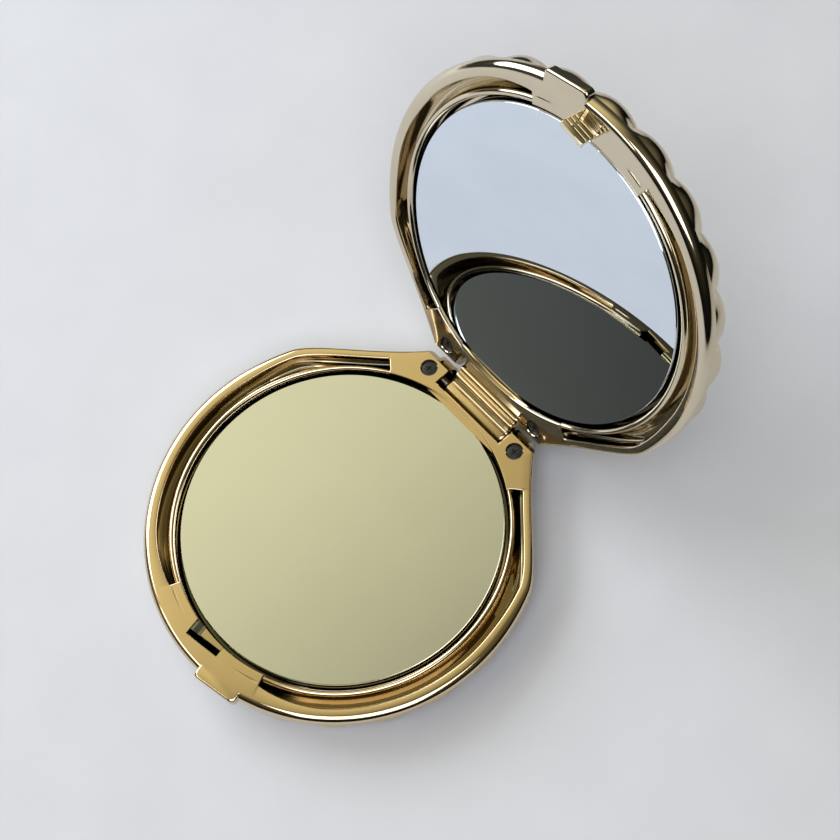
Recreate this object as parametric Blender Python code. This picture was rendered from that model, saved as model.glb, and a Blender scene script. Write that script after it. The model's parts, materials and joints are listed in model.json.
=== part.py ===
"""Scallop-shell pocket compact with two round mirrors and a two-pin link hinge, standing open.

Both halves are made in one local frame: the parting face is the plane z = 0, the half lies
below it, +Y points to the hinge and the mirror's centre is the origin. The base half stands
that frame on its flat foot. The lid half is the same moulding turned half a turn about the
line that bisects the opening, so it faces the base half.
"""

import math

import bmesh
import bpy
from mathutils import Matrix, Vector
from mathutils.geometry import interpolate_bezier

MM = 0.001
GAP = 0.3 * MM  # between pieces that touch on the bench

# Outline of a half, seen from above
BODY_RADIUS = 34.4 * MM
ARC_HALF_ANGLE = math.radians(116)  # from the clasp round to where the flank starts
EAR_CORNER = Vector((13.0, 33.2, 0)) * MM
FLANK_DIRECTION = Vector((-0.64, 0.77, 0)).normalized()
FLANK_START_PULL = 4.0 * MM
FLANK_END_PULL = 10.0 * MM
OUTLINE_RUN_OUT = 4.0 * MM  # how far the outline runs past the ears before it is cut square
CURVE_STEPS = 10

# Inner frame: rim plate, mirror cup, ears
RIM_THICKNESS = 1.8 * MM
RIM_ROUNDING = 1.3 * MM
RIM_WIDTH = 2.7 * MM
RING_INNER_RADIUS = 28.75 * MM
RING_OUTER_RADIUS = 29.9 * MM
SEAT_DEPTH = 3.4 * MM
CUP_DEPTH = 4.6 * MM
POCKET_DEPTH = 2.9 * MM
POCKET_TRAY_INSET = 2.2 * MM
POCKET_TRAY_DEPTH = 3.6 * MM
POCKET_HINGE_END = (16.4 * MM, 25.4 * MM)
POCKET_HINGE_END_TURN = math.radians(45)
POCKET_CLASP_END_X = 11.7 * MM
EAR_FRONT_Y = 27.5 * MM
EAR_REAR_Y = EAR_CORNER.y
EAR_CHAMFER = 0.9 * MM
EAR_UPPER_INSET = 1.9 * MM
EAR_LOWER_INSET = 2.4 * MM
EAR_STEP_DEPTH = 5.0 * MM
EAR_DEPTH = 6.9 * MM

# Thumb tab beside the centre line, and the latch
TAB_TURN = math.radians(11.5)  # how far round from the centre line it points
TAB_X = (-4.35 * MM, 4.35 * MM)
TAB_REACH = 35.3 * MM
TAB_ROUNDING = 0.7 * MM
# The latch is drawn square, then turned about its middle; the lid has the other turn
LATCH_TURN = math.radians(10)
LATCH_MIDDLE = Vector((0, -30.35, 0)) * MM
LATCH_X = (-3.5 * MM, 3.0 * MM)
LATCH_SLOT_Y = (-31.0 * MM, -29.7 * MM)
LATCH_OPEN_END_X = -1.8 * MM
LEDGE_DEPTH = 1.3 * MM
BARB_POCKET_Z = (-3.6 * MM, -2.2 * MM)
BARB_POCKET_X = (-3.5 * MM, 1.7 * MM)
BARB_POCKET_Y = -29.2 * MM

# Hook on the lid, in the lid's own frame, where +X is the other way round from the base's
HOOK_X = (-1.3 * MM, 3.1 * MM)
HOOK_PLATE_Y = (-31.0 * MM, -29.4 * MM)
HOOK_PLATE_DEPTH = 1.2 * MM
HOOK_LEG_Y = (-30.7 * MM, -29.9 * MM)
HOOK_BARB_Y = -29.45 * MM
HOOK_BARB_Z = (2.8 * MM, 3.7 * MM)
RECESS_X = (-0.9 * MM, 2.3 * MM)
RECESS_Y = (-32.8 * MM, -31.2 * MM)
RECESS_DEPTH = 0.9 * MM

# Mirror glass and the pad that holds it
GLASS_RADIUS = 28.0 * MM
GLASS_FACE_DEPTH = 0.6 * MM
GLASS_THICKNESS = 1.8 * MM
GLASS_BEVEL = 0.2 * MM
PAD_RADIUS = 27.0 * MM
PAD_THICKNESS = 0.4 * MM

# Two-pin link hinge
OPEN_HALF_ANGLE = math.radians(56.5)  # each pin turns this far from shut to open
PIN_Y = 31.3 * MM
PIN_DEPTH = 3.7 * MM
PIN_RADIUS = 0.75 * MM
PIN_HALF_LENGTH = 9.6 * MM
BORE_RADIUS = 0.85 * MM
BORE_HALF_LENGTH = 9.85 * MM
NOTCH_HALF_WIDTH = 8.0 * MM
NOTCH_FRONT_Y = 29.3 * MM
NOTCH_DEPTH = 5.65 * MM
LINK_HALF_WIDTH = 7.3 * MM
LINK_RADIUS = 1.75 * MM
LINK_WAIST = 0.75 * MM
SHUT_GAP = 0.3 * MM
LINK_LENGTH = 2 * PIN_DEPTH + SHUT_GAP

# Screws that pull the shell up to the ears
SCREW_X = 10.95 * MM
SCREW_Y = 30.3 * MM
SCREW_HEAD_RADIUS = 1.15 * MM
SCREW_HEAD_Z = (-1.6 * MM, -0.8 * MM)
SCREW_SHANK_RADIUS = 0.65 * MM
SCREW_TIP_DEPTH = 7.7 * MM
WELL_RADIUS = 1.45 * MM
WELL_DEPTH = 1.9 * MM
SHANK_HOLE_RADIUS = 0.95 * MM
BOSS_RADIUS = 1.6 * MM
BOSS_TOP_DEPTH = 5.6 * MM
BOSS_SOCKET_RADIUS = 1.95 * MM
BOSS_SOCKET_DEPTH = 5.3 * MM

# Outer shell
HALF_HEIGHT = 8.6 * MM
SEAM_DEPTH = RIM_THICKNESS + GAP
SEAM_INSET = 0.3 * MM
SHELL_WALL = 0.8 * MM
RIB_COUNT = 15
RIB_DEPTH = 1.05 * MM
RIB_DEPTH_AT_HINGE = 0.12 * MM
COLUMNS_PER_RIB = 4
ROW_FRACTIONS = (0, 0.06, 0.2, 0.4, 0.6, 0.76, 0.87, 0.94, 0.98, 1.0)
WALL_LEVELS = 2
WALL_DEPTH = (3.2 * MM, 6.8 * MM)  # at the clasp, and at the hinge
SHOULDER_DEPTH = (4.6 * MM, 1.8 * MM)
SHOULDER_WIDTH = (9.0 * MM, 2.0 * MM)
HINGE_BLEND_Y = (12.0 * MM, 29.0 * MM)
CROWN_HEIGHT = 1.6 * MM
CROWN_CENTRE = Vector((0, 6.0, 0)) * MM
CROWN_RADIUS = 34.0 * MM
REAR_ROUNDING = (1.2 * MM, 0.4 * MM)  # how far in from the rear edge, and how deep

GOLD = (0.78, 0.61, 0.33)
PALE_GOLD = (0.72, 0.63, 0.48)


def make_material(name, colour, roughness, metallic):
    """A Principled material."""
    material = bpy.data.materials.new(name)
    material.use_nodes = True
    shader = material.node_tree.nodes["Principled BSDF"]
    shader.inputs["Base Color"].default_value = (*colour, 1)
    shader.inputs["Roughness"].default_value = roughness
    shader.inputs["Metallic"].default_value = metallic
    material.diffuse_color = (*colour, 1)
    return material


def clear_scene():
    """Removes the objects that the file opened with."""
    for old in list(bpy.data.objects):
        bpy.data.objects.remove(old, do_unlink=True)


def new_collection(name, rendered=True):
    """A collection in the scene. One for cutters stays out of renders."""
    collection = bpy.data.collections.new(name)
    collection.hide_render = not rendered
    bpy.context.scene.collection.children.link(collection)
    return collection


def link_object(name, mesh, collection):
    """An object for this mesh, in this collection."""
    made = bpy.data.objects.new(name, mesh)
    collection.objects.link(made)
    return made


def mesh_from_bmesh(name, bm):
    """Stores a bmesh as a mesh and frees it."""
    mesh = bpy.data.meshes.new(name)
    bm.to_mesh(mesh)
    bm.free()
    return mesh


# ---------------------------------------------------------------- outline of a half


def arc_point(radius, angle):
    """The point on the body's circle at this angle from the clasp, towards +X."""
    return Vector((radius * math.sin(angle), -radius * math.cos(angle), 0))


def arc_tangent(angle):
    return Vector((math.cos(angle), math.sin(angle), 0))


def right_controls(inset):
    """Bezier points from the clasp round the +X side to past the ear: (point, handle in, handle out)."""
    radius = BODY_RADIUS - inset
    step = ARC_HALF_ANGLE / 2
    pull = 4 / 3 * math.tan(step / 4) * radius
    controls = []
    for angle in (0, step):
        point, tangent = arc_point(radius, angle), arc_tangent(angle)
        controls.append((point, point - tangent * pull, point + tangent * pull))
    start, tangent = arc_point(radius, ARC_HALF_ANGLE), arc_tangent(ARC_HALF_ANGLE)
    controls.append((start, start - tangent * pull, start + tangent * FLANK_START_PULL))
    inward = Vector((-FLANK_DIRECTION.y, FLANK_DIRECTION.x, 0))
    corner = EAR_CORNER + inward * inset
    past = corner + FLANK_DIRECTION * OUTLINE_RUN_OUT
    third = FLANK_DIRECTION * (OUTLINE_RUN_OUT / 3)
    controls.append((corner, corner - FLANK_DIRECTION * FLANK_END_PULL, corner + third))
    controls.append((past, past - third, past))
    return controls


def flip_x(vector):
    return Vector((-vector.x, vector.y, vector.z))


def outline_controls(inset):
    """The closed outline's Bezier points, anticlockwise from the clasp."""
    right = right_controls(inset)
    left = [
        (flip_x(point), flip_x(after), flip_x(before)) for point, before, after in right[:0:-1]
    ]
    return right + left


def mesh_of_curve(curve_object):
    """The curve's evaluated mesh, with its caps sewn on and their flat triangles joined."""
    graph = bpy.context.evaluated_depsgraph_get()
    mesh = bpy.data.meshes.new_from_object(curve_object.evaluated_get(graph))
    bpy.data.objects.remove(curve_object)
    bm = bmesh.new()
    bm.from_mesh(mesh)
    bmesh.ops.remove_doubles(bm, verts=bm.verts, dist=0.001 * MM)
    bmesh.ops.dissolve_limit(bm, angle_limit=math.radians(0.5), verts=bm.verts, edges=bm.edges)
    bmesh.ops.recalc_face_normals(bm, faces=bm.faces)
    bm.to_mesh(mesh)
    bm.free()
    return mesh


def flat_curve(name, controls, half_thickness):
    """A filled 2D curve through these Bezier points, extruded both ways."""
    curve = bpy.data.curves.new(name, "CURVE")
    curve.dimensions = "2D"
    curve.fill_mode = "BOTH"
    curve.extrude = half_thickness
    curve.resolution_u = CURVE_STEPS
    spline = curve.splines.new("BEZIER")
    spline.bezier_points.add(len(controls) - 1)
    spline.use_cyclic_u = True
    for target, (point, before, after) in zip(spline.bezier_points, controls):
        target.handle_left_type = target.handle_right_type = "FREE"
        target.co = point
        target.handle_left = before
        target.handle_right = after
    made = bpy.data.objects.new(name, curve)
    bpy.context.scene.collection.objects.link(made)
    return made


def outline_plate(name, inset, bottom, top, rounding=0.0):
    """A plate with the half's outline, its upper edge rounded if asked."""
    mesh = mesh_of_curve(flat_curve(name, outline_controls(inset), (top - bottom) / 2))
    mesh.transform(Matrix.Translation((0, 0, (top + bottom) / 2)))
    if rounding:
        bm = bmesh.new()
        bm.from_mesh(mesh)
        near = 0.01 * MM
        edges = [e for e in bm.edges if all(abs(v.co.z - top) < near for v in e.verts)]
        bmesh.ops.bevel(
            bm, geom=edges, offset=rounding, segments=3, profile=0.5, affect="EDGES", material=-1
        )
        bm.to_mesh(mesh)
        bm.free()
    return mesh


# ---------------------------------------------------------------- plain solids


def turned(mesh, angle, pivot=Vector()):
    """The mesh turned about an upright axis through the pivot. Returns the same mesh."""
    turn = Matrix.Translation(pivot) @ Matrix.Rotation(angle, 4, "Z") @ Matrix.Translation(-pivot)
    mesh.transform(turn)
    return mesh


def box_mesh(name, x, y, z, rounding=0.0, segments=2):
    """A box between these limits, with its edges rounded if asked."""
    bm = bmesh.new()
    bmesh.ops.create_cube(bm, size=1)
    size = Vector((x[1] - x[0], y[1] - y[0], z[1] - z[0]))
    centre = Vector((x[0] + x[1], y[0] + y[1], z[0] + z[1])) / 2
    bmesh.ops.transform(
        bm, matrix=Matrix.Translation(centre) @ Matrix.Diagonal((*size, 1)), verts=bm.verts
    )
    if rounding:
        bmesh.ops.bevel(
            bm,
            geom=list(bm.edges),
            offset=rounding,
            segments=segments,
            profile=0.5,
            affect="EDGES",
            material=-1,
        )
    return mesh_from_bmesh(name, bm)


def cylinder_mesh(name, radius, low, high, centre=(0, 0), segments=24):
    """An upright cylinder between two heights."""
    bm = bmesh.new()
    bmesh.ops.create_cone(
        bm, cap_ends=True, segments=segments, radius1=radius, radius2=radius, depth=high - low
    )
    place = Matrix.Translation((centre[0], centre[1], (low + high) / 2))
    bmesh.ops.transform(bm, matrix=place, verts=bm.verts)
    return mesh_from_bmesh(name, bm)


def crosswise_cylinder(name, radius, half_length, centre, segments=20):
    """A cylinder along X, centred on (y, z)."""
    mesh = cylinder_mesh(name, radius, -half_length, half_length, segments=segments)
    mesh.transform(Matrix.Rotation(math.pi / 2, 4, "Y"))
    mesh.transform(Matrix.Translation((0, *centre)))
    return mesh


def crosswise_prism(name, profile, half_width):
    """A prism along X whose side view is this closed list of (y, z) corners."""
    controls = [(Vector((y, z, 0)),) * 3 for y, z in profile]
    flat = flat_curve(name, controls, half_width)
    flat.data.resolution_u = 1
    mesh = mesh_of_curve(flat)
    turn = Matrix(((0, 0, 1, 0), (1, 0, 0, 0), (0, 1, 0, 0), (0, 0, 0, 1)))
    mesh.transform(turn)
    return mesh


# ---------------------------------------------------------------- cutters of a frame


def boolean(target, other, operation="DIFFERENCE"):
    modifier = target.modifiers.new(other.name, "BOOLEAN")
    modifier.operation = operation
    modifier.solver = "EXACT"
    modifier.object = other


def pocket_mesh(name, side, cutters):
    """The crescent between the ring and the rim on one side."""
    high = 1.0 * MM
    low = -POCKET_DEPTH
    crescent = link_object(name, outline_plate(name, RIM_WIDTH, low, high), cutters)
    far = 60 * MM
    inner = link_object(
        name + "_inner",
        cylinder_mesh(name + "_inner", RING_OUTER_RADIUS, 2 * low, 2 * high, segments=72),
        cutters,
    )
    boolean(crescent, inner)
    beyond = box_mesh(name + "_beyond", (-far, far), (0, far), (2 * low, 2 * high))
    place = Matrix.Translation((side * POCKET_HINGE_END[0], POCKET_HINGE_END[1], 0))
    beyond.transform(place @ Matrix.Rotation(side * POCKET_HINGE_END_TURN, 4, "Z"))
    hinge_end = link_object(name + "_hinge_end", beyond, cutters)
    boolean(crescent, hinge_end)
    other_side = (-far, POCKET_CLASP_END_X) if side > 0 else (-POCKET_CLASP_END_X, far)
    clasp_end = link_object(
        name + "_clasp_end",
        box_mesh(name + "_clasp_end", other_side, (-far, far), (2 * low, 2 * high)),
        cutters,
    )
    boolean(crescent, clasp_end)
    return [crescent, inner, hinge_end, clasp_end]


def notch_profile():
    """Side view of the link's notch: open above and behind, with the sloping stop at its rear."""
    along = Vector((math.sin(OPEN_HALF_ANGLE), math.cos(OPEN_HALF_ANGLE)))
    below = Vector((along.y, -along.x))
    touch = Vector((PIN_Y, -PIN_DEPTH)) + below * (LINK_RADIUS + GAP)
    start = touch + along * ((-NOTCH_DEPTH - touch.y) / along.y)
    end = start + along * (4 * MM)
    above = 1 * MM
    return [
        (NOTCH_FRONT_Y, above),
        (NOTCH_FRONT_Y, -NOTCH_DEPTH),
        tuple(start),
        tuple(end),
        (end.x, above),
    ]


def ear_chamfer_profile():
    """Side view of what the ears' rear top edge loses."""
    clear = 1 * MM
    return [
        (EAR_REAR_Y - EAR_CHAMFER - clear, clear),
        (EAR_REAR_Y + clear, -EAR_CHAMFER - clear),
        (EAR_REAR_Y + 2 * clear, clear),
    ]


def frame_cutters(label):
    """(name, mesh) of every plain cut that both frames have."""
    deep, high = -20 * MM, 1 * MM
    wide = 30 * MM
    cuts = [
        ("seat", cylinder_mesh("seat", RING_INNER_RADIUS, -SEAT_DEPTH, high, segments=72)),
        ("rear", box_mesh("rear", (-wide, wide), (EAR_REAR_Y, 2 * EAR_REAR_Y), (deep, high))),
        ("chamfer", crosswise_prism("chamfer", ear_chamfer_profile(), wide)),
        ("notch", crosswise_prism("notch", notch_profile(), NOTCH_HALF_WIDTH)),
        (
            "bore",
            crosswise_cylinder("bore", BORE_RADIUS, BORE_HALF_LENGTH, (PIN_Y, -PIN_DEPTH)),
        ),
    ]
    for end, side in (("left", -1), ("right", 1)):
        centre = (side * SCREW_X, SCREW_Y)
        wells = (
            ("well", WELL_RADIUS, -WELL_DEPTH, high),
            ("shank_hole", SHANK_HOLE_RADIUS, deep, high / 2),
            ("socket", BOSS_SOCKET_RADIUS, deep, -BOSS_SOCKET_DEPTH),
        )
        for what, radius, low, top in wells:
            mesh = cylinder_mesh(f"{what}_{end}", radius, low, top, centre, 20)
            cuts.append((f"{what}_{end}", mesh))
    return [(f"cut_{label}_{name}", mesh) for name, mesh in cuts]


def catch_cutters():
    """The base's latch: an open slot, the lowered ledge and the pocket under it for the barb."""
    high, low = 1 * MM, -CUP_DEPTH - 1 * MM
    front = -28 * MM
    cuts = [
        ("cut_base_slot", box_mesh("slot", LATCH_X, LATCH_SLOT_Y, (low, high))),
        (
            "cut_base_open_end",
            box_mesh(
                "open_end",
                (LATCH_X[0], LATCH_OPEN_END_X),
                (LATCH_SLOT_Y[0], front),
                (-SEAT_DEPTH + GAP, high),
            ),
        ),
        (
            "cut_base_ledge",
            box_mesh("ledge", (LATCH_OPEN_END_X, LATCH_X[1]), (-29.8 * MM, front), (-LEDGE_DEPTH, high)),
        ),
        (
            "cut_base_barb_pocket",
            box_mesh("barb_pocket", BARB_POCKET_X, (-29.8 * MM, BARB_POCKET_Y), BARB_POCKET_Z),
        ),
    ]
    return [(name, turned(mesh, LATCH_TURN, LATCH_MIDDLE)) for name, mesh in cuts]


def hook_seat_cutters():
    """The lid's seat for the hook and the shallow recess between it and the rim."""
    high = 1 * MM
    seat_x = (HOOK_X[0] - GAP, HOOK_X[1] + GAP)
    seat_y = (HOOK_PLATE_Y[0] - GAP, HOOK_PLATE_Y[1] + GAP)
    cuts = [
        ("cut_lid_hook_seat", box_mesh("hook_seat", seat_x, seat_y, (-HOOK_PLATE_DEPTH - GAP, high))),
        ("cut_lid_recess", box_mesh("recess", RECESS_X, RECESS_Y, (-RECESS_DEPTH, high))),
    ]
    return [(name, turned(mesh, -LATCH_TURN, LATCH_MIDDLE)) for name, mesh in cuts]


# ---------------------------------------------------------------- pieces


def inner_frame(label, extra_cuts, parts, cutters):
    """Rim plate, mirror cup, pocket tray, ears and thumb tab in one moulding, with its tools."""
    overlap = 0.1 * MM
    frame = link_object(
        f"{label}_inner_frame",
        outline_plate("rim_plate", 0, -RIM_THICKNESS, 0, RIM_ROUNDING),
        parts,
    )
    added = [
        ("cup", cylinder_mesh("cup", RING_OUTER_RADIUS, -CUP_DEPTH, -RIM_THICKNESS / 2, segments=72)),
        (
            "pocket_tray",
            outline_plate(
                "pocket_tray", POCKET_TRAY_INSET, -POCKET_TRAY_DEPTH, -RIM_THICKNESS + overlap
            ),
        ),
        (
            "ears_upper",
            outline_plate("ears_upper", EAR_UPPER_INSET, -EAR_STEP_DEPTH, -RIM_THICKNESS + overlap),
        ),
        (
            "ears_lower",
            outline_plate("ears_lower", EAR_LOWER_INSET, -EAR_DEPTH, -EAR_STEP_DEPTH + overlap),
        ),
        (
            "tab",
            turned(
                box_mesh(
                    "tab", TAB_X, (-TAB_REACH, -30.5 * MM), (-RIM_THICKNESS, 0), TAB_ROUNDING, 2
                ),
                TAB_TURN,
            ),
        ),
    ]
    tools = []
    for name, mesh in added:
        tool = link_object(f"add_{label}_{name}", mesh, cutters)
        tools.append(tool)
        if name.startswith("ears"):
            front = link_object(
                f"cut_{label}_{name}_front",
                box_mesh("ears_front", (-60 * MM, 60 * MM), (-60 * MM, EAR_FRONT_Y), (-20 * MM, 1 * MM)),
                cutters,
            )
            boolean(tool, front)
            tools.append(front)
        boolean(frame, tool, "UNION")
    for side, end in ((-1, "left"), (1, "right")):
        pocket = pocket_mesh(f"cut_{label}_pocket_{end}", side, cutters)
        boolean(frame, pocket[0])
        tools.extend(pocket)
    for name, mesh in frame_cutters(label) + extra_cuts:
        cutter = link_object(name, mesh, cutters)
        boolean(frame, cutter)
        tools.append(cutter)
    return frame, tools


def smooth_step(low, high, value):
    share = min(max((value - low) / (high - low), 0), 1)
    return share * share * (3 - 2 * share)


def outline_samples():
    """Points and outward directions round the outline, from ear to ear by way of the clasp."""
    controls = right_controls(0)[:4]
    right = []
    for (point, _, after), (target, before, _) in zip(controls, controls[1:]):
        right += interpolate_bezier(point, after, before, target, 40)[:-1]
    right.append(controls[-1][0])
    points = [flip_x(p) for p in right[:0:-1]] + right
    samples = []
    for index, point in enumerate(points):
        along = points[min(index + 1, len(points) - 1)] - points[max(index - 1, 0)]
        samples.append((point, Vector((along.y, -along.x, 0)).normalized()))
    return samples


def patch_point(u, v):
    """The plan point at u across the shell, from the left flank to the right, and v from rear to clasp."""
    start, _, pull = right_controls(0)[2]
    corner, corner_pull, _ = right_controls(0)[3]

    def flank(share):
        back = 1 - share
        return (
            corner * back**3
            + corner_pull * (3 * back**2 * share)
            + pull * (3 * back * share**2)
            + start * share**3
        )

    front = arc_point(BODY_RADIUS, (2 * u - 1) * ARC_HALF_ANGLE)
    rear = flip_x(corner).lerp(corner, u)
    sides = flip_x(flank(v)).lerp(flank(v), u)
    corners = flip_x(corner).lerp(corner, u).lerp(flip_x(start).lerp(start, u), v)
    return rear.lerp(front, v) + sides - corners


def rib_height(u):
    """0 in a valley between ribs and 1 on a crest. The outermost ribs stay full out to the flanks."""
    place = u * RIB_COUNT
    if place < 0.5 or place > RIB_COUNT - 0.5:
        return 1.0
    return 1 - (2 * (place % 1) - 1) ** 2


def shell_point(u, v, level, samples, inner, floor):
    """A point of the shell's skin. Level 0 is the dome and its edge, higher levels climb the wall."""
    plan = patch_point(u, v)
    nearest, outward = min(samples, key=lambda sample: (sample[0] - plan).length_squared)
    edge = max((nearest - plan).dot(outward) - 0.02 * MM, 0)
    hinge = smooth_step(*HINGE_BLEND_Y, plan.y)

    def blend(pair):
        return pair[0] + (pair[1] - pair[0]) * hinge

    wall, shoulder, width = blend(WALL_DEPTH), blend(SHOULDER_DEPTH), blend(SHOULDER_WIDTH)
    tilt = math.acos(max(1 - edge / width, 0))
    from_crown = (plan - CROWN_CENTRE).length / CROWN_RADIUS
    crown = CROWN_HEIGHT * max(1 - from_crown**2, 0) * math.sin(tilt)
    depth = wall + shoulder * math.sin(tilt) + crown
    into_rear = max(plan.y - (EAR_REAR_Y - REAR_ROUNDING[0]), 0) / REAR_ROUNDING[0]
    depth -= REAR_ROUNDING[1] * into_rear**2
    ribs = RIB_DEPTH_AT_HINGE + (RIB_DEPTH - RIB_DEPTH_AT_HINGE) * v**1.3
    rise = level / WALL_LEVELS
    if level:
        depth = wall + (SEAM_DEPTH - wall) * rise
        plan = plan - outward * (SEAM_INSET * rise**2)
    if inner:
        sink = SHELL_WALL + ribs * (1 - rise)
    else:
        sink = ribs * (1 - rib_height(u)) * (1 - rise)
    point = plan - outward * (sink * math.cos(tilt))
    point.z = min(-depth, 0) + sink * math.sin(tilt)
    if not inner:
        point.z = max(point.z, -floor)
    elif level == 0:
        point.z = max(point.z, -floor + SHELL_WALL)
    return point


def shell_skin(bm, samples, inner, floor):
    """One skin of the shell, open along its seam and its rear. Returns its faces."""
    columns, rows = RIB_COUNT * COLUMNS_PER_RIB, len(ROW_FRACTIONS) - 1
    grid = bmesh.ops.create_grid(bm, x_segments=columns, y_segments=rows, size=0.5)
    verts = grid["verts"]
    place = {}
    for vert in verts:
        row = round((vert.co.y + 0.5) * rows)
        place[vert] = (round(vert.co.x + 0.5, 6), ROW_FRACTIONS[row])
        vert.co = shell_point(*place[vert], 0, samples, inner, floor)
    faces = {face for vert in verts for face in vert.link_faces}
    edges = [
        edge
        for edge in bm.edges
        if edge.is_boundary
        and edge.verts[0] in place
        and not all(place[vert][1] == 0 for vert in edge.verts)
    ]
    for level in range(1, WALL_LEVELS + 1):
        ring = {vert for edge in edges for vert in edge.verts}
        raised = bmesh.ops.extrude_edge_only(bm, edges=edges)["geom"]
        new_verts = [g for g in raised if isinstance(g, bmesh.types.BMVert)]
        edges = [g for g in raised if isinstance(g, bmesh.types.BMEdge)]
        edges = [e for e in edges if all(v in new_verts for v in e.verts)]
        faces |= {g for g in raised if isinstance(g, bmesh.types.BMFace)}
        for vert in new_verts:
            below = next(
                e.other_vert(vert) for e in vert.link_edges if e.other_vert(vert) in ring
            )
            place[vert] = place[below]
        for vert in new_verts:
            vert.co = shell_point(*place[vert], level, samples, inner, floor)
    return faces


def outer_shell(label, floor, parts, cutters):
    """The scalloped shell with its two screw bosses. Returns it and its tools."""
    samples = outline_samples()
    bm = bmesh.new()
    shell_skin(bm, samples, False, floor)
    shell_skin(bm, samples, True, floor)
    open_edges = [edge for edge in bm.edges if edge.is_boundary]
    bmesh.ops.bridge_loops(bm, edges=open_edges)
    bmesh.ops.recalc_face_normals(bm, faces=bm.faces)
    shell = link_object(f"{label}_outer_shell", mesh_from_bmesh("shell", bm), parts)
    tools = []
    for side, end in ((-1, "left"), (1, "right")):
        centre = (side * SCREW_X, SCREW_Y)
        boss_foot = -HALF_HEIGHT + SHELL_WALL / 2
        boss = link_object(
            f"add_{label}_boss_{end}",
            cylinder_mesh("boss", BOSS_RADIUS, boss_foot, -BOSS_TOP_DEPTH, centre, 16),
            cutters,
        )
        pilot = link_object(
            f"cut_{label}_pilot_{end}",
            cylinder_mesh("pilot", SHANK_HOLE_RADIUS, -SCREW_TIP_DEPTH - GAP, 0, centre, 16),
            cutters,
        )
        boolean(shell, boss, "UNION")
        boolean(shell, pilot)
        tools += [boss, pilot]
    return shell, tools


def mirror_glass(label, parts):
    """The round silvered glass, its front edge slightly bevelled."""
    back = -GLASS_FACE_DEPTH - GLASS_THICKNESS
    mesh = cylinder_mesh("glass", GLASS_RADIUS, back, -GLASS_FACE_DEPTH, segments=72)
    bm = bmesh.new()
    bm.from_mesh(mesh)
    middle = back + GLASS_THICKNESS / 2
    front_edges = [e for e in bm.edges if all(v.co.z > middle for v in e.verts)]
    bmesh.ops.bevel(
        bm,
        geom=front_edges,
        offset=GLASS_BEVEL,
        segments=1,
        profile=0.5,
        affect="EDGES",
        material=-1,
    )
    bm.to_mesh(mesh)
    bm.free()
    return link_object(f"{label}_mirror", mesh, parts)


def mirror_pad(label, parts):
    """The double-sided pad between the glass and the floor of its cup."""
    top = -GLASS_FACE_DEPTH - GLASS_THICKNESS - GAP
    mesh = cylinder_mesh("pad", PAD_RADIUS, top - PAD_THICKNESS, top, segments=48)
    return link_object(f"{label}_mirror_pad", mesh, parts)


def screw(label, end, side, parts, cutters):
    """A small pan-head screw with a cross recess. Returns it and its tools."""
    centre = (side * SCREW_X, SCREW_Y)
    low, top = SCREW_HEAD_Z
    head = link_object(
        f"{label}_screw_{end}",
        cylinder_mesh("head", SCREW_HEAD_RADIUS, low, top, centre, 20),
        parts,
    )
    shank = link_object(
        f"add_{label}_shank_{end}",
        cylinder_mesh("shank", SCREW_SHANK_RADIUS, -SCREW_TIP_DEPTH, low + 0.1 * MM, centre, 12),
        cutters,
    )
    boolean(head, shank, "UNION")
    tools = [shank]
    reach, slot, depth = 0.7 * MM, 0.16 * MM, 0.4 * MM
    for way, (half_x, half_y) in (("a", (reach, slot)), ("b", (slot, reach))):
        x = (centre[0] - half_x, centre[0] + half_x)
        y = (centre[1] - half_y, centre[1] + half_y)
        recess = link_object(
            f"cut_{label}_screw_{end}_{way}",
            box_mesh("cross", x, y, (top - depth, top + depth)),
            cutters,
        )
        boolean(head, recess)
        tools.append(recess)
    return head, tools


def hinge_pin(label, parts):
    """A plain steel pin in a half's ears."""
    centre = (PIN_Y, -PIN_DEPTH)
    mesh = crosswise_cylinder("pin", PIN_RADIUS, PIN_HALF_LENGTH, centre, 20)
    return link_object(f"{label}_hinge_pin", mesh, parts)


def latch_hook(parts, cutters):
    """The lid's hook: a plate let into the deck, a leg and a barb. Returns it and its tools."""
    plate = box_mesh("plate", HOOK_X, HOOK_PLATE_Y, (-HOOK_PLATE_DEPTH, 0))
    hook = link_object("latch_hook", turned(plate, -LATCH_TURN, LATCH_MIDDLE), parts)
    leg_x = (HOOK_X[0], HOOK_X[1])
    overlap = 0.1 * MM
    leg = box_mesh("leg", leg_x, HOOK_LEG_Y, (-overlap, HOOK_BARB_Z[1]))
    barb = crosswise_prism(
        "barb",
        [
            (HOOK_LEG_Y[1] - overlap, HOOK_BARB_Z[0]),
            (HOOK_BARB_Y, HOOK_BARB_Z[0] + 0.2 * MM),
            (HOOK_LEG_Y[1] - overlap, HOOK_BARB_Z[1] - 0.05 * MM),
        ],
        (HOOK_X[1] - HOOK_X[0]) / 2,
    )
    barb.transform(Matrix.Translation(((HOOK_X[0] + HOOK_X[1]) / 2, 0, 0)))
    tools = []
    for name, mesh in (("leg", leg), ("barb", barb)):
        turned(mesh, -LATCH_TURN, LATCH_MIDDLE)
        tool = link_object(f"add_hook_{name}", mesh, cutters)
        boolean(hook, tool, "UNION")
        tools.append(tool)
    return hook, tools


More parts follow.
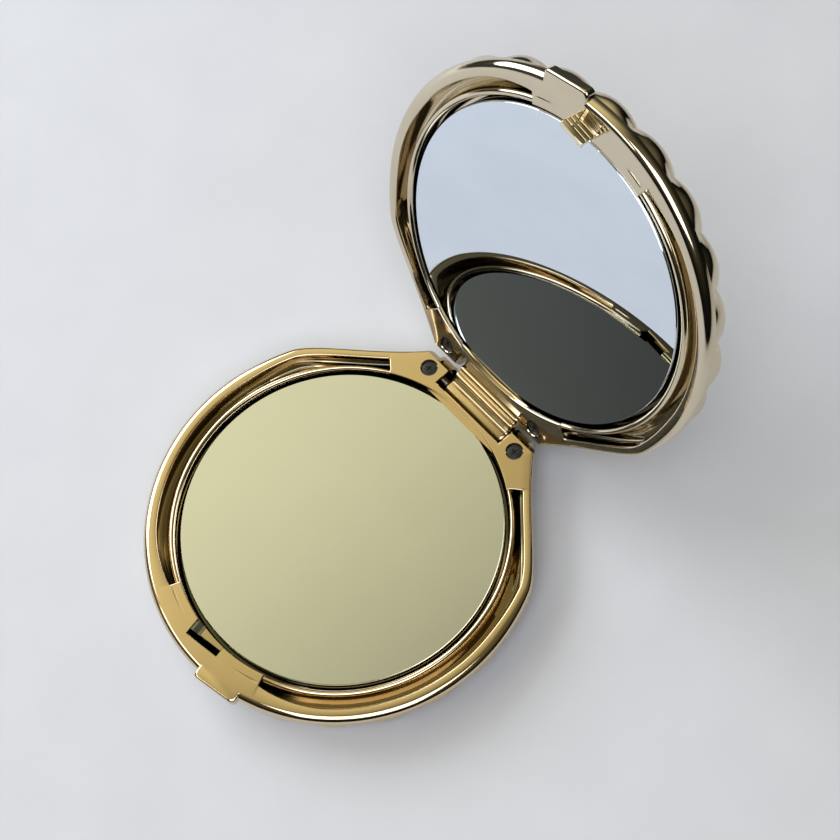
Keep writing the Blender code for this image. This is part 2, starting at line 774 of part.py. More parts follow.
def link_controls():
    """Side view of the link as Bezier points (y, z): two lobes, flat behind and waisted in front."""
    radius, length = LINK_RADIUS, LINK_LENGTH
    pull = 0.5523 * radius
    middle = length / 2
    lobe = [
        ((radius, 0), (radius, pull), (radius, -pull)),
        ((0, -radius), (pull, -radius), (-pull, -radius)),
        ((-radius, 0), (-radius, -pull), (-radius, pull)),
    ]
    waist = ((-LINK_WAIST, middle), (-LINK_WAIST, middle - pull), (-LINK_WAIST, middle + pull))
    far = [
        tuple((y, length - z) for y, z in (point, after, before))
        for point, before, after in lobe[::-1]
    ]
    return [tuple(Vector((y, z, 0)) for y, z in row) for row in lobe + [waist] + far]


def hinge_link(parts, cutters):
    """The block between the two pins, its own origin on the base's pin. Returns it and its tools."""
    curve = flat_curve("hinge_link_side", link_controls(), LINK_HALF_WIDTH)
    curve.data.resolution_u = 6
    mesh = mesh_of_curve(curve)
    mesh.transform(Matrix(((0, 0, 1, 0), (1, 0, 0, 0), (0, 1, 0, 0), (0, 0, 0, 1))))
    made = link_object("hinge_link", mesh, parts)
    tools = []
    for name, height in (("near", 0), ("far", LINK_LENGTH)):
        bore = link_object(
            f"cut_link_{name}_bore",
            crosswise_cylinder("link_bore", BORE_RADIUS, 2 * LINK_HALF_WIDTH, (0, height)),
            cutters,
        )
        boolean(made, bore)
        tools.append(bore)
    return made, tools


# ---------------------------------------------------------------- assembly


def finish(made, material):
    """Smooth shading and the piece's material."""
    made.data.materials.clear()
    made.data.materials.append(material)
    made.data.shade_smooth()
    made.data.set_sharp_from_angle(angle=math.radians(30))


def attach(pieces, pivot, offset):
    """Hangs pieces made in a half's frame on the empty at its pin."""
    for piece in pieces:
        piece.parent = pivot
        piece.location = offset


def pivot_empty(name, location, turn, parts):
    empty = bpy.data.objects.new(name, None)
    empty.empty_display_size = 5 * MM
    empty.matrix_world = Matrix.Translation(location) @ turn
    parts.objects.link(empty)
    return empty


def build():
    clear_scene()
    parts = new_collection("scallop_compact")
    cutters = new_collection("cutters", rendered=False)
    plated = make_material("gold_plated_plastic", GOLD, 0.12, 1.0)
    plated_lid = make_material("pale_gold_plated_plastic", PALE_GOLD, 0.12, 1.0)
    silvered = make_material("silvered_glass", (0.85, 0.87, 0.88), 0.02, 1.0)
    pad = make_material("black_pad", (0.02, 0.02, 0.02), 0.8, 0.0)
    steel = make_material("steel", (0.55, 0.55, 0.56), 0.25, 1.0)
    blackened = make_material("blackened_steel", (0.04, 0.04, 0.045), 0.45, 1.0)

    in_half = Vector((0, -PIN_Y, PIN_DEPTH))
    base_pin = Vector((0, PIN_Y, HALF_HEIGHT - PIN_DEPTH))
    link_way = Vector((0, math.sin(OPEN_HALF_ANGLE), math.cos(OPEN_HALF_ANGLE)))
    lid_pin = base_pin + link_way * LINK_LENGTH
    bisector = Vector((0, link_way.z, -link_way.y))
    base_pivot = pivot_empty("base_pivot", base_pin, Matrix(), parts)
    lid_pivot = pivot_empty("lid_pivot", lid_pin, Matrix.Rotation(math.pi, 4, bisector), parts)

    sides = (
        ("base", base_pivot, catch_cutters(), HALF_HEIGHT, plated),
        ("lid", lid_pivot, hook_seat_cutters(), HALF_HEIGHT + CROWN_HEIGHT, plated_lid),
    )
    for label, pivot, cuts, floor, metal in sides:
        frame, frame_tools = inner_frame(label, cuts, parts, cutters)
        shell, shell_tools = outer_shell(label, floor, parts, cutters)
        finish(frame, metal)
        finish(shell, metal)
        glass = mirror_glass(label, parts)
        finish(glass, silvered)
        backing = mirror_pad(label, parts)
        finish(backing, pad)
        pin = hinge_pin(label, parts)
        finish(pin, steel)
        moving = [frame, shell, glass, backing, pin] + frame_tools + shell_tools
        for end, side in (("left", -1), ("right", 1)):
            made, tools = screw(label, end, side, parts, cutters)
            finish(made, blackened)
            moving += [made] + tools
        if label == "lid":
            hook, tools = latch_hook(parts, cutters)
            finish(hook, metal)
            moving += [hook] + tools
        attach(moving, pivot, in_half)

    link, tools = hinge_link(parts, cutters)
    finish(link, plated)
    for piece in [link] + tools:
        piece.location = base_pin
        piece.rotation_euler.x = -OPEN_HALF_ANGLE
    for tool in cutters.objects:
        tool.hide_render = True
        tool.display_type = "WIRE"


build()
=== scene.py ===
"""Scallop-shell compact mirror, standing open on a pale table.

Both halves are the same moulding. Each is modelled in millimetres in its own frame: the parting
face is the plane z = 0, the half lies below it, the origin is the centre of the mirror and +Y
points to the hinge. Angles round a half are measured from the clasp, positive towards +X.
"""

import bisect
import json
import logging
import math
from dataclasses import dataclass, field, replace
from enum import Enum
from typing import Sequence

import bmesh
import bpy
from mathutils import Matrix, Vector
from mathutils.geometry import interpolate_bezier
from mathutils.kdtree import KDTree


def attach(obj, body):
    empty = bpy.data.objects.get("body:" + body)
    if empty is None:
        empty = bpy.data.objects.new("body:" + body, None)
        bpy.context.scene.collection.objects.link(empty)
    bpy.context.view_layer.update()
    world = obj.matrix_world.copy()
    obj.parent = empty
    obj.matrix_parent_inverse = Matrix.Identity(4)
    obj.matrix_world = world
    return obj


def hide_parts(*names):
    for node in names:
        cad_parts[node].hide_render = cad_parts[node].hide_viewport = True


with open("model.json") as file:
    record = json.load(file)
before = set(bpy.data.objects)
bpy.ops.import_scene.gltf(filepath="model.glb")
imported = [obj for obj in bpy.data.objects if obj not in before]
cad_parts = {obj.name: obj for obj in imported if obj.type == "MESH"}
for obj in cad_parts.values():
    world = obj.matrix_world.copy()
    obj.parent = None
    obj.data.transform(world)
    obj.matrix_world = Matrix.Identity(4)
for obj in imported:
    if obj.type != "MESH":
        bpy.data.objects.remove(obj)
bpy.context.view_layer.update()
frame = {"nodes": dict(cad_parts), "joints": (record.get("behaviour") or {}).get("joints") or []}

logging.basicConfig(level=logging.INFO, format="%(message)s")
log = logging.getLogger("compact")

MM = 0.001
Colour = tuple[float, float, float]
Triple = tuple[float, float, float]


class Half(Enum):
    """The two halves, by the names of their CAD bodies."""

    BASE = "base"
    LID = "lid"


# ---------------------------------------------------------------- small helpers


def blend(low: float, high: float, share: float) -> float:
    """Mixes two numbers."""
    return low + (high - low) * share


def smooth(low: float, high: float, value: float) -> float:
    """Rises smoothly from 0 at low to 1 at high."""
    share = min(max((value - low) / (high - low), 0.0), 1.0)
    return share * share * (3 - 2 * share)


def soft_max(first: float, second: float, width: float) -> float:
    """The larger of two heights, with a fillet of about this width where they cross."""
    gap = max(width - abs(first - second), 0.0) / width
    return max(first, second) + gap * gap * width / 4


def polar(radius: float, angle: float) -> Vector:
    """A plan point at this radius and angle from the clasp."""
    return Vector((radius * math.sin(angle), -radius * math.cos(angle), 0))


def mesh_object(name: str, bm: bmesh.types.BMesh, place: Matrix) -> bpy.types.Object:
    """Turns a bmesh in millimetres into an object at the origin with its place in its mesh.

    Args:
        name: the piece's name.
        bm: the shape, freed here.
        place: the matrix from the piece's own frame to the row frame, in metres.

    Returns:
        The new object, linked to the scene.
    """
    mesh = bpy.data.meshes.new(name)
    bm.to_mesh(mesh)
    bm.free()
    mesh.transform(place @ Matrix.Scale(MM, 4))
    made = bpy.data.objects.new(name, mesh)
    bpy.context.scene.collection.objects.link(made)
    return made


def in_metres(turn: Matrix) -> Matrix:
    """The same placement for points in metres instead of millimetres."""
    return Matrix.Scale(MM, 4) @ turn @ Matrix.Scale(1 / MM, 4)


def shade(made: bpy.types.Object, angle: float = 32.0) -> None:
    """Smooth shading with edges sharper than this angle, in degrees, kept crisp."""
    made.data.shade_smooth()
    made.data.set_sharp_from_angle(angle=math.radians(angle))


def dress(made: bpy.types.Object, *materials: bpy.types.Material) -> None:
    """Gives a piece its materials, in slot order."""
    made.data.materials.clear()
    for material in materials:
        made.data.materials.append(material)


def loft(bm: bmesh.types.BMesh, rings: Sequence[Sequence[Vector]]) -> None:
    """Extrudes a circle of edges from ring to ring and closes both ends.

    Args:
        bm: the bmesh to add to.
        rings: closed rings of the same number of points, each in the same turning order.
    """
    count = len(rings[0])
    loop = bmesh.ops.create_circle(bm, segments=count, radius=1)["verts"]
    first = loop
    for vert, point in zip(loop, rings[0]):
        vert.co = point
    for ring in rings[1:]:
        edges = [bm.edges.get((vert, loop[index - 1])) for index, vert in enumerate(loop)]
        added = bmesh.ops.extrude_edge_only(bm, edges=edges)["geom"]
        fresh = {g for g in added if isinstance(g, bmesh.types.BMVert)}
        loop = [
            next(e.other_vert(v) for e in v.link_edges if e.other_vert(v) in fresh) for v in loop
        ]
        for vert, point in zip(loop, ring):
            vert.co = point
    for ends in (first, loop):
        edges = [bm.edges.get((vert, ends[index - 1])) for index, vert in enumerate(ends)]
        bmesh.ops.contextual_create(bm, geom=edges)
    bmesh.ops.recalc_face_normals(bm, faces=bm.faces)


def spun(profile: Sequence[tuple[float, float]], steps: int) -> bmesh.types.BMesh:
    """A solid turned about Z.

    Args:
        profile: its (radius, height) corners, starting and ending on the axis.
        steps: how many faces go round it.

    Returns:
        The closed solid.
    """
    bm = bmesh.new()
    verts = [bm.verts.new((radius, 0, height)) for radius, height in profile]
    edges = [bm.edges.new(pair) for pair in zip(verts, verts[1:])]
    bmesh.ops.spin(
        bm,
        geom=edges,
        cent=(0, 0, 0),
        axis=(0, 0, 1),
        angle=2 * math.pi,
        steps=steps,
        use_merge=True,
    )
    bmesh.ops.remove_doubles(bm, verts=bm.verts, dist=1e-5)
    bmesh.ops.recalc_face_normals(bm, faces=bm.faces)
    return bm


def polyline_normals(points: Sequence[Vector], closed: bool = False) -> list[Vector]:
    """Plan normals to the right of the direction of travel, one for each point."""
    last = len(points) - 1
    normals = []
    for index in range(len(points)):
        after = points[(index + 1) % len(points)] if closed else points[min(index + 1, last)]
        before = points[index - 1] if closed else points[max(index - 1, 0)]
        along = after - before
        normals.append(Vector((along.y, -along.x, 0)).normalized())
    return normals


def rounded_corners(
    corners: Sequence[tuple[Vector, float]], straight_steps: int, arc_steps: int
) -> list[Vector]:
    """A path through corners, each rounded by its own distance along both sides.

    Args:
        corners: (corner, distance from it at which its rounding starts) in order.
        straight_steps: points on each straight run.
        arc_steps: points on each rounding.

    Returns:
        The path's points.
    """
    path = [corners[0][0]]
    for index in range(1, len(corners)):
        corner, cut = corners[index]
        start = path[-1]
        entry = corner - (corner - corners[index - 1][0]).normalized() * cut
        path += [start.lerp(entry, step / straight_steps) for step in range(1, straight_steps + 1)]
        if cut and index + 1 < len(corners):
            leave = corner + (corners[index + 1][0] - corner).normalized() * cut
            pull = 0.55
            path += interpolate_bezier(
                entry, entry.lerp(corner, pull), leave.lerp(corner, pull), leave, arc_steps
            )[1:]
    return path


# ---------------------------------------------------------------- finishes


class Nodes:
    """A short way to build a material's nodes."""

    def __init__(self, name: str) -> None:
        """Starts a material with one Principled shader."""
        self.material = bpy.data.materials.new(name)
        self.material.use_nodes = True
        self.tree = self.material.node_tree
        self.shader = self.tree.nodes["Principled BSDF"]

    def add(self, kind: str, **settings: object) -> bpy.types.Node:
        """Adds a node; settings name either its properties or its input sockets."""
        node = self.tree.nodes.new(kind)
        for key, value in settings.items():
            if hasattr(node, key):
                setattr(node, key, value)
            else:
                node.inputs[key.replace("_", " ")].default_value = value
        return node

    def join(self, source: bpy.types.NodeSocket, target: bpy.types.NodeSocket) -> None:
        """Links two sockets."""
        self.tree.links.new(source, target)

    def noise(self, scale: float, detail: float) -> bpy.types.Node:
        """Noise over the piece's own place, in features per metre."""
        where = self.add("ShaderNodeTexCoord")
        noise = self.add("ShaderNodeTexNoise", Scale=scale, Detail=detail)
        self.join(where.outputs["Object"], noise.inputs["Vector"])
        return noise

    def ramp(
        self, source: bpy.types.NodeSocket, stops: Sequence[tuple[float, Colour]]
    ) -> bpy.types.Node:
        """A colour ramp fed by source, with a stop at each (place, colour)."""
        ramp = self.add("ShaderNodeValToRGB")
        elements = ramp.color_ramp.elements
        for index, (place, colour) in enumerate(stops):
            element = elements[index] if index < 2 else elements.new(place)
            element.position = place
            element.color = (*colour, 1)
        self.join(source, ramp.inputs["Fac"])
        return ramp

    def spread(self, source: bpy.types.NodeSocket, low: float, high: float) -> bpy.types.Node:
        """Maps a 0.3 to 0.7 signal on to low to high."""
        node = self.add("ShaderNodeMapRange", From_Min=0.3, From_Max=0.7, To_Min=low, To_Max=high)
        self.join(source, node.inputs["Value"])
        return node

    def sum_up(
        self,
        operation: str,
        first: bpy.types.NodeSocket,
        second: bpy.types.NodeSocket | float = 0.0,
    ) -> bpy.types.NodeSocket:
        """The result of one sum on one or two values."""
        node = self.add("ShaderNodeMath", operation=operation)
        self.join(first, node.inputs[0])
        if isinstance(second, float):
            node.inputs[1].default_value = second
        else:
            self.join(second, node.inputs[1])
        return node.outputs["Value"]

    def ease(self, source: bpy.types.NodeSocket, low: float, high: float) -> bpy.types.NodeSocket:
        """Goes smoothly from 0 where source is low to 1 where it is high, whichever is larger."""
        first, last = min(low, high), max(low, high)
        ends = {"From_Min": first, "From_Max": last}
        ends |= {"To_Min": float(low > high), "To_Max": float(low < high)}
        node = self.add("ShaderNodeMapRange", interpolation_type="SMOOTHSTEP", **ends)
        self.join(source, node.inputs["Value"])
        return node.outputs["Result"]

    def bump(self, source: bpy.types.NodeSocket, depth_mm: float) -> None:
        """Raises the surface by source, up to this depth."""
        node = self.add("ShaderNodeBump", Strength=1.0, Distance=depth_mm * MM)
        self.join(source, node.inputs["Height"])
        self.join(node.outputs["Normal"], self.shader.inputs["Normal"])


@dataclass(frozen=True)
class PaintedRecessShade:
    """A darker tint painted into the recesses as shade: deep in the pockets, most of all at their
    ends.

    It stands in for the dark reflections there.
    """

    to_half: Matrix
    # wall_share: how much painted shade the pockets' outer wall takes
    wall_share: float
    # dark: the colour of the painted shade
    dark: Colour = (0.085, 0.085, 0.06)
    # each pair is where the painted shade starts and where it is full, in millimetres or degrees
    depth: tuple[float, float] = (1.0, 2.0)
    inside_rim: tuple[float, float] = (33.7, 33.3)
    outer_wall: tuple[float, float] = (31.0, 31.7)
    clasp_end: tuple[float, float] = (40, 27)
    hinge_end: tuple[float, float] = (118, 136)

    def over(self, nodes: Nodes, colour: bpy.types.NodeSocket) -> bpy.types.NodeSocket:
        """Paints shade into a colour in the recesses.

        Args:
            nodes: the material being built.
            colour: the plating's colour.

        Returns:
            The colour with its painted recess shade.
        """
        where = nodes.add("ShaderNodeTexCoord")
        local = nodes.add("ShaderNodeMapping")
        local.inputs["Location"].default_value = self.to_half.to_translation()
        local.inputs["Rotation"].default_value = self.to_half.to_euler()
        nodes.join(where.outputs["Object"], local.inputs["Vector"])
        axes = nodes.add("ShaderNodeSeparateXYZ")
        nodes.join(local.outputs["Vector"], axes.inputs["Vector"])
        x, y, z = (axes.outputs[name] for name in "XYZ")
        front = nodes.sum_up("MULTIPLY", y, -1.0)
        angle = nodes.sum_up("ABSOLUTE", nodes.sum_up("ARCTAN2", x, front))
        squares = [nodes.sum_up("MULTIPLY", axis, axis) for axis in (x, y)]
        reach = nodes.sum_up("SQRT", nodes.sum_up("ADD", *squares))
        deep = nodes.ease(z, *(-depth * MM for depth in self.depth))
        inside = nodes.ease(reach, *(radius * MM for radius in self.inside_rim))
        wall = nodes.ease(reach, *(radius * MM for radius in self.outer_wall))
        wall = nodes.sum_up("MULTIPLY", wall, self.wall_share)
        clasp = nodes.ease(angle, *map(math.radians, self.clasp_end))
        hinge = nodes.ease(angle, *map(math.radians, self.hinge_end))
        most = nodes.sum_up("MAXIMUM", nodes.sum_up("MAXIMUM", clasp, hinge), wall)
        # share: how strongly the painted shade covers this point
        share = nodes.sum_up("MULTIPLY", nodes.sum_up("MULTIPLY", deep, inside), most)
        mix = nodes.add("ShaderNodeMix", data_type="RGBA")
        nodes.join(share, mix.inputs[0])
        nodes.join(colour, mix.inputs[6])
        mix.inputs[7].default_value = (*self.dark, 1)
        return mix.outputs[2]


@dataclass(frozen=True)
class PlatedGold:
    """Bright metallised plastic: a thin metal coating over a moulding that is not quite flat, with
    painted shade in its recesses where given.
    """

    name: str
    thin: Colour
    rich: Colour
    gloss: tuple[float, float] = (0.045, 0.1)
    ripple_mm: float = 0.006
    # painted shade for the recesses, standing in for their dark reflections
    recess: "PaintedRecessShade | None" = None

    def material(self) -> bpy.types.Material:
        """The coating's nodes: its tint and haze drift, any painted recess shade, and its skin is
        very slightly rippled.
        """
        nodes = Nodes(self.name)
        nodes.shader.inputs["Metallic"].default_value = 1.0
        cloud = nodes.noise(70, 2)
        tint = nodes.ramp(cloud.outputs["Fac"], [(0.3, self.thin), (0.7, self.rich)])
        colour = tint.outputs["Color"]
        # painted shade in the recesses
        if self.recess:
            colour = self.recess.over(nodes, colour)
        nodes.join(colour, nodes.shader.inputs["Base Color"])
        haze = nodes.noise(450, 4)
        rough = nodes.spread(haze.outputs["Fac"], *self.gloss)
        nodes.join(rough.outputs["Result"], nodes.shader.inputs["Roughness"])
        ripple = nodes.noise(240, 1)
        nodes.bump(ripple.outputs["Fac"], self.ripple_mm)
        return nodes.material


@dataclass(frozen=True)
class SilveredGlass:
    """A mirror's face: silver seen through thin float glass."""

    name: str
    tint: Colour

    def material(self) -> bpy.types.Material:
        """Almost perfect reflection, with a breath of haze."""
        nodes = Nodes(self.name)
        nodes.shader.inputs["Metallic"].default_value = 1.0
        cloud = nodes.noise(60, 2)
        dim = tuple(c * 0.975 for c in self.tint)
        tint = nodes.ramp(cloud.outputs["Fac"], [(0.35, self.tint), (0.65, dim)])
        nodes.join(tint.outputs["Color"], nodes.shader.inputs["Base Color"])
        rough = nodes.spread(cloud.outputs["Fac"], 0.004, 0.012)
        nodes.join(rough.outputs["Result"], nodes.shader.inputs["Roughness"])
        return nodes.material


@dataclass(frozen=True)
class GroundEdge:
    """The mirror's cut and ground rim, with small chips of light and dark."""

    name: str
    dark: Colour
    light: Colour

    def material(self) -> bpy.types.Material:
        """Grey glass with streaks across its rim."""
        nodes = Nodes(self.name)
        chips = nodes.noise(900, 5)
        tint = nodes.ramp(chips.outputs["Fac"], [(0.42, self.dark), (0.62, self.light)])
        nodes.join(tint.outputs["Color"], nodes.shader.inputs["Base Color"])
        nodes.shader.inputs["Metallic"].default_value = 0.7
        rough = nodes.spread(chips.outputs["Fac"], 0.12, 0.4)
        nodes.join(rough.outputs["Result"], nodes.shader.inputs["Roughness"])
        nodes.bump(chips.outputs["Fac"], 0.05)
        return nodes.material


@dataclass(frozen=True)
class DullCoat:
    """A plain coated or moulded surface with fine mottling."""

    name: str
    dark: Colour
    light: Colour
    roughness: tuple[float, float]
    grain_per_metre: float
    grain_mm: float
    metallic: float = 0.0

    def material(self) -> bpy.types.Material:
        """Mottled colour, uneven sheen and a fine grain."""
        nodes = Nodes(self.name)
        nodes.shader.inputs["Metallic"].default_value = self.metallic
        grain = nodes.noise(self.grain_per_metre, 5)
        tint = nodes.ramp(grain.outputs["Fac"], [(0.3, self.dark), (0.7, self.light)])
        nodes.join(tint.outputs["Color"], nodes.shader.inputs["Base Color"])
        rough = nodes.spread(grain.outputs["Fac"], *self.roughness)
        nodes.join(rough.outputs["Result"], nodes.shader.inputs["Roughness"])
        nodes.bump(grain.outputs["Fac"], self.grain_mm)
        return nodes.material


Finish = PlatedGold | SilveredGlass | GroundEdge | DullCoat

BASE_GOLD = PlatedGold("champagne_gold", (0.73, 0.60, 0.41), (0.69, 0.56, 0.36))
LID_GOLD = PlatedGold("pale_champagne_gold", (0.69, 0.61, 0.47), (0.65, 0.57, 0.425))
HOOK_GOLD = PlatedGold("bright_pale_gold", (0.85, 0.78, 0.62), (0.82, 0.74, 0.57), (0.03, 0.07))
MIRROR_FACE = SilveredGlass("silvered_glass", (0.745, 0.815, 0.895))
MIRROR_RIM = GroundEdge("ground_glass_edge", (0.05, 0.06, 0.06), (0.62, 0.66, 0.66))
BLACK_PAD = DullCoat(
    "black_foam_pad", (0.006, 0.006, 0.007), (0.014, 0.014, 0.015), (0.7, 0.95), 3000, 0.05
)
BLACK_STEEL = DullCoat(
    "blackened_screw", (0.004, 0.005, 0.005), (0.012, 0.014, 0.014), (0.3, 0.5), 1500, 0.012, 0.0
)
PIN_STEEL = DullCoat(
    "ground_steel_pin", (0.45, 0.4, 0.33), (0.6, 0.55, 0.47), (0.2, 0.35), 900, 0.004, 1.0
)
PAPER = DullCoat("matt_paper", (0.70, 0.72, 0.775), (0.735, 0.755, 0.81), (0.85, 0.95), 55, 0.0)


# ---------------------------------------------------------------- outline of a half


@dataclass
class Outline:
    """The plan outline of a half: a circle, two slightly hollow flanks and a straight hinge end."""

    radius: float = 34.4
    arc_half_angle: float = math.radians(116)
    ear_corner: Vector = field(default_factory=lambda: Vector((13.0, 33.2, 0)))
    ear_corner_rounding: float = 0.35
    flank_direction: Vector = field(default_factory=lambda: Vector((-0.64, 0.77, 0)).normalized())
    flank_start_pull: float = 4.0
    flank_end_pull: float = 10.0
    arc_step: float = math.radians(0.75)
    flank_steps: int = 70

    def __post_init__(self) -> None:
        """Samples the +X side once, from the clasp to the middle of the hinge end."""
        points = self._side_points()
        normals = polyline_normals(points)
        self.samples = [
            (math.atan2(point.x, -point.y), point, normal)
            for point, normal in zip(points, normals)
        ]
        self.samples[-1] = (math.pi, self.samples[-1][1], Vector((0, 1, 0)))
        self.samples[0] = (0.0, self.samples[0][1], Vector((0, -1, 0)))
        self.sizes = [sample[0] for sample in self.samples]

    def _side_points(self) -> list[Vector]:
        """Points along the +X side."""
        steps = round(self.arc_half_angle / self.arc_step)
        points = [polar(self.radius, self.arc_half_angle * k / steps) for k in range(steps)]
        start = polar(self.radius, self.arc_half_angle)
        away = Vector((math.cos(self.arc_half_angle), math.sin(self.arc_half_angle), 0))
        entry = self.ear_corner - self.flank_direction * self.ear_corner_rounding
        points += interpolate_bezier(
            start,
            start + away * self.flank_start_pull,
            entry - self.flank_direction * self.flank_end_pull,
            entry,
            self.flank_steps,
        )
        leave = self.ear_corner - Vector((self.ear_corner_rounding, 0, 0))
        points += interpolate_bezier(
            entry, entry.lerp(self.ear_corner, 0.6), leave.lerp(self.ear_corner, 0.6), leave, 8
        )[1:]
        middle = Vector((0, self.ear_corner.y, 0))
        points += [leave.lerp(middle, k / 24) for k in range(1, 25)]
        return points

    def at(self, angle: float) -> tuple[Vector, Vector]:
        """The outline's point and outward normal at an angle from the clasp, either side."""
        side = -1 if angle < 0 else 1
        size = min(abs(angle), math.pi)
        high = bisect.bisect_left(self.sizes, size - 1e-9)
        low = max(high - 1, 0)
        span = self.samples[high][0] - self.samples[low][0]
        share = (size - self.samples[low][0]) / span if span > 1e-9 else 0.0
        point = self.samples[low][1].lerp(self.samples[high][1], share)
        normal = self.samples[low][2].lerp(self.samples[high][2], share).normalized()
        return Vector((point.x * side, point.y, 0)), Vector((normal.x * side, normal.y, 0))


@dataclass
class ThumbTab:
    """The flat tab beside the clasp, flush with the deck and square to its own radius."""

    turn: float = math.radians(11.5)
    half_width: float = 4.35
    reach: float = 35.3
    root: float = 31.6
    corner: float = 0.9
    rounding: float = 0.45
    thickness: float = 1.75
    sink: float = 0.004

    def _ring(self, inset: float, depth: float) -> list[Vector]:
        """The tab's edge drawn in by inset at a depth."""
        wide, reach, cut = self.half_width - inset, self.reach - inset, self.corner
        corners = [
            (Vector((-wide, -self.root, 0)), 0),
            (Vector((-wide, -reach, 0)), cut),
            (Vector((wide, -reach, 0)), cut),
            (Vector((wide, -self.root, 0)), 0),
        ]
        turn = Matrix.Rotation(self.turn, 3, "Z")
        return [turn @ point + Vector((0, 0, -depth)) for point in rounded_corners(corners, 6, 9)]

    def build(self) -> bmesh.types.BMesh:
        """A plate with a rounded top edge, to be joined to the rim."""
        rings = [self._ring(0, self.thickness)]
        for step in range(8):
            turn = math.pi / 2 * step / 7
            inset = self.rounding * (1 - math.cos(turn))
            rings.append(self._ring(inset, self.sink + self.rounding * (1 - math.sin(turn))))
        bm = bmesh.new()
        loft(bm, rings)
        return bm


@dataclass
class Station:
    """One cut across the frame moulding, from the mirror's ring to the outer edge."""

    angle: float
    ring_angle: float
    edge: Vector
    normal: Vector


@dataclass
class FrameMoulding:
    """The inner frame: rim, ring round the mirror, crescent pockets, decks and hinge ears."""

    outline: Outline
    rim_thickness: float = 1.8
    rim_rounding: float = 1.3
    flank_rounding: float = 0.55
    rear_rounding: float = 0.12
    rim_width: float = 2.2
    flank_rim_width: float = 1.4
    clasp_rim_width: float = 3.4
    pocket_clasp_end: float = math.radians(22.3)
    pocket_hinge_end: float = math.radians(147.3)
    pocket_taper: float = math.radians(21)
    pocket_end_skew: float = math.radians(1.3)
    pocket_end_fillet: float = 0.2
    ring_inner: float = 28.75
    ring_outer: float = 30.0
    ring_outer_at_hinge: float = 29.65
    seat_depth: float = 3.4
    cup_depth: float = 4.6
    cup_radius: float = 29.4
    # (inset from the outline, depth) from the cup out to under the rim
    underside: tuple[tuple[float, float], ...] = (
        (3.0, 3.9), (2.4, 3.7), (2.1, 1.9), (1.9, 1.8), (0.5, 1.8),
    )
    # (share of the way from the rim to the ring, depth) down the pocket's outer wall, across its
    # hollow floor and up the ring's sloping flank
    pocket_section: tuple[tuple[float, float], ...] = (
        (0.0, 0.0), (0.03, 0.012), (0.06, 0.05), (0.085, 0.11), (0.1, 0.2), (0.11, 0.45),
        (0.12, 0.9), (0.135, 1.4), (0.155, 1.9), (0.185, 2.35), (0.23, 2.75), (0.29, 3.05),
        (0.36, 3.22), (0.44, 3.28), (0.52, 3.24), (0.6, 3.1), (0.68, 2.84), (0.75, 2.5),
        (0.81, 2.12), (0.86, 1.74), (0.9, 1.42), (0.94, 1.14), (0.97, 0.94),
    )
    # (share of the way across the ring, depth) over its rounded top
    ring_section: tuple[tuple[float, float], ...] = (
        (0.0, 0.78), (0.05, 0.64), (0.12, 0.49), (0.21, 0.37), (0.32, 0.28), (0.44, 0.235),
        (0.56, 0.23), (0.68, 0.27), (0.79, 0.35), (0.88, 0.47), (0.95, 0.62), (1.0, 0.85),
    )

    def _stations(self) -> list[Station]:
        """Every cut round the half, in turning order from the hinge round by the clasp."""
        fine = [0, 0.04, 0.08, 0.12, 0.15, 0.18, 0.2, 0.22, 0.24, 0.26, 0.28, 0.32, 0.38, 0.46]
        fine += [0.58, 0.72, 0.9]
        sizes = [sample[0] for sample in self.outline.samples]
        for end, way in ((self.pocket_clasp_end, 1), (self.pocket_hinge_end, -1)):
            sizes = [size for size in sizes if not end - 0.03 < size < end + 0.03]
            sizes += [end + way * step / 31 for step in fine + [-0.06, -0.14]]
        sizes = sorted(set(round(size, 7) for size in sizes))
        angles = sorted([-size for size in sizes if 0 < size < math.pi - 1e-6] + sizes)
        return [self._station(angle) for angle in angles]

    def _station(self, angle: float) -> Station:
        """The cut at one angle, with its ring end set square to the flank near the pocket's end."""
        size = abs(angle)
        lean = smooth(math.radians(118), self.pocket_hinge_end, size)
        lean *= 1 - smooth(self.pocket_hinge_end, math.radians(172), size)
        turn = math.copysign(self.pocket_end_skew * lean, angle)
        point, normal = self.outline.at(angle)
        return Station(angle, angle + turn, point, normal)

    def _rounding(self, station: Station) -> float:
        """How far the top edge is rounded at a station."""
        size = abs(station.angle)
        flank = smooth(math.radians(102), math.radians(128), size)
        width = blend(self.rim_rounding, self.flank_rounding, flank)
        rear = smooth(math.radians(157.0), math.radians(158.6), size)
        return blend(width, self.rear_rounding, rear)

    def _rim_inset(self, size: float) -> float:
        """How far inside the outline the rim's inner edge lies."""
        inset = blend(
            self.rim_width, self.flank_rim_width, smooth(math.radians(98), math.radians(126), size)
        )
        near_clasp = 1 - min(max((size - self.pocket_clasp_end) / self.pocket_taper, 0), 1)
        return blend(inset, self.clasp_rim_width, near_clasp**1.6)

    def _end_depth(self, size: float) -> float:
        """How deep the pocket may be so close to either of its ends."""
        inside = 31 * min(size - self.pocket_clasp_end, self.pocket_hinge_end - size)
        fillet = self.pocket_end_fillet
        if inside <= 0:
            return 0.0
        if inside < fillet:
            return fillet - math.sqrt(fillet * fillet - inside * inside)
        return fillet + 3.2 * smooth(-0.08, 0.42, inside - fillet) ** 0.7

    def _squeeze(self, size: float) -> float:
        """How much of its width the pocket keeps so close to its rounded ends."""
        inside = 31 * min(size - self.pocket_clasp_end, self.pocket_hinge_end - size)
        share = min(max(inside / 0.55, 0.0), 1.0)
        return 0.5 + 0.5 * math.sqrt(1 - (1 - share) ** 2)

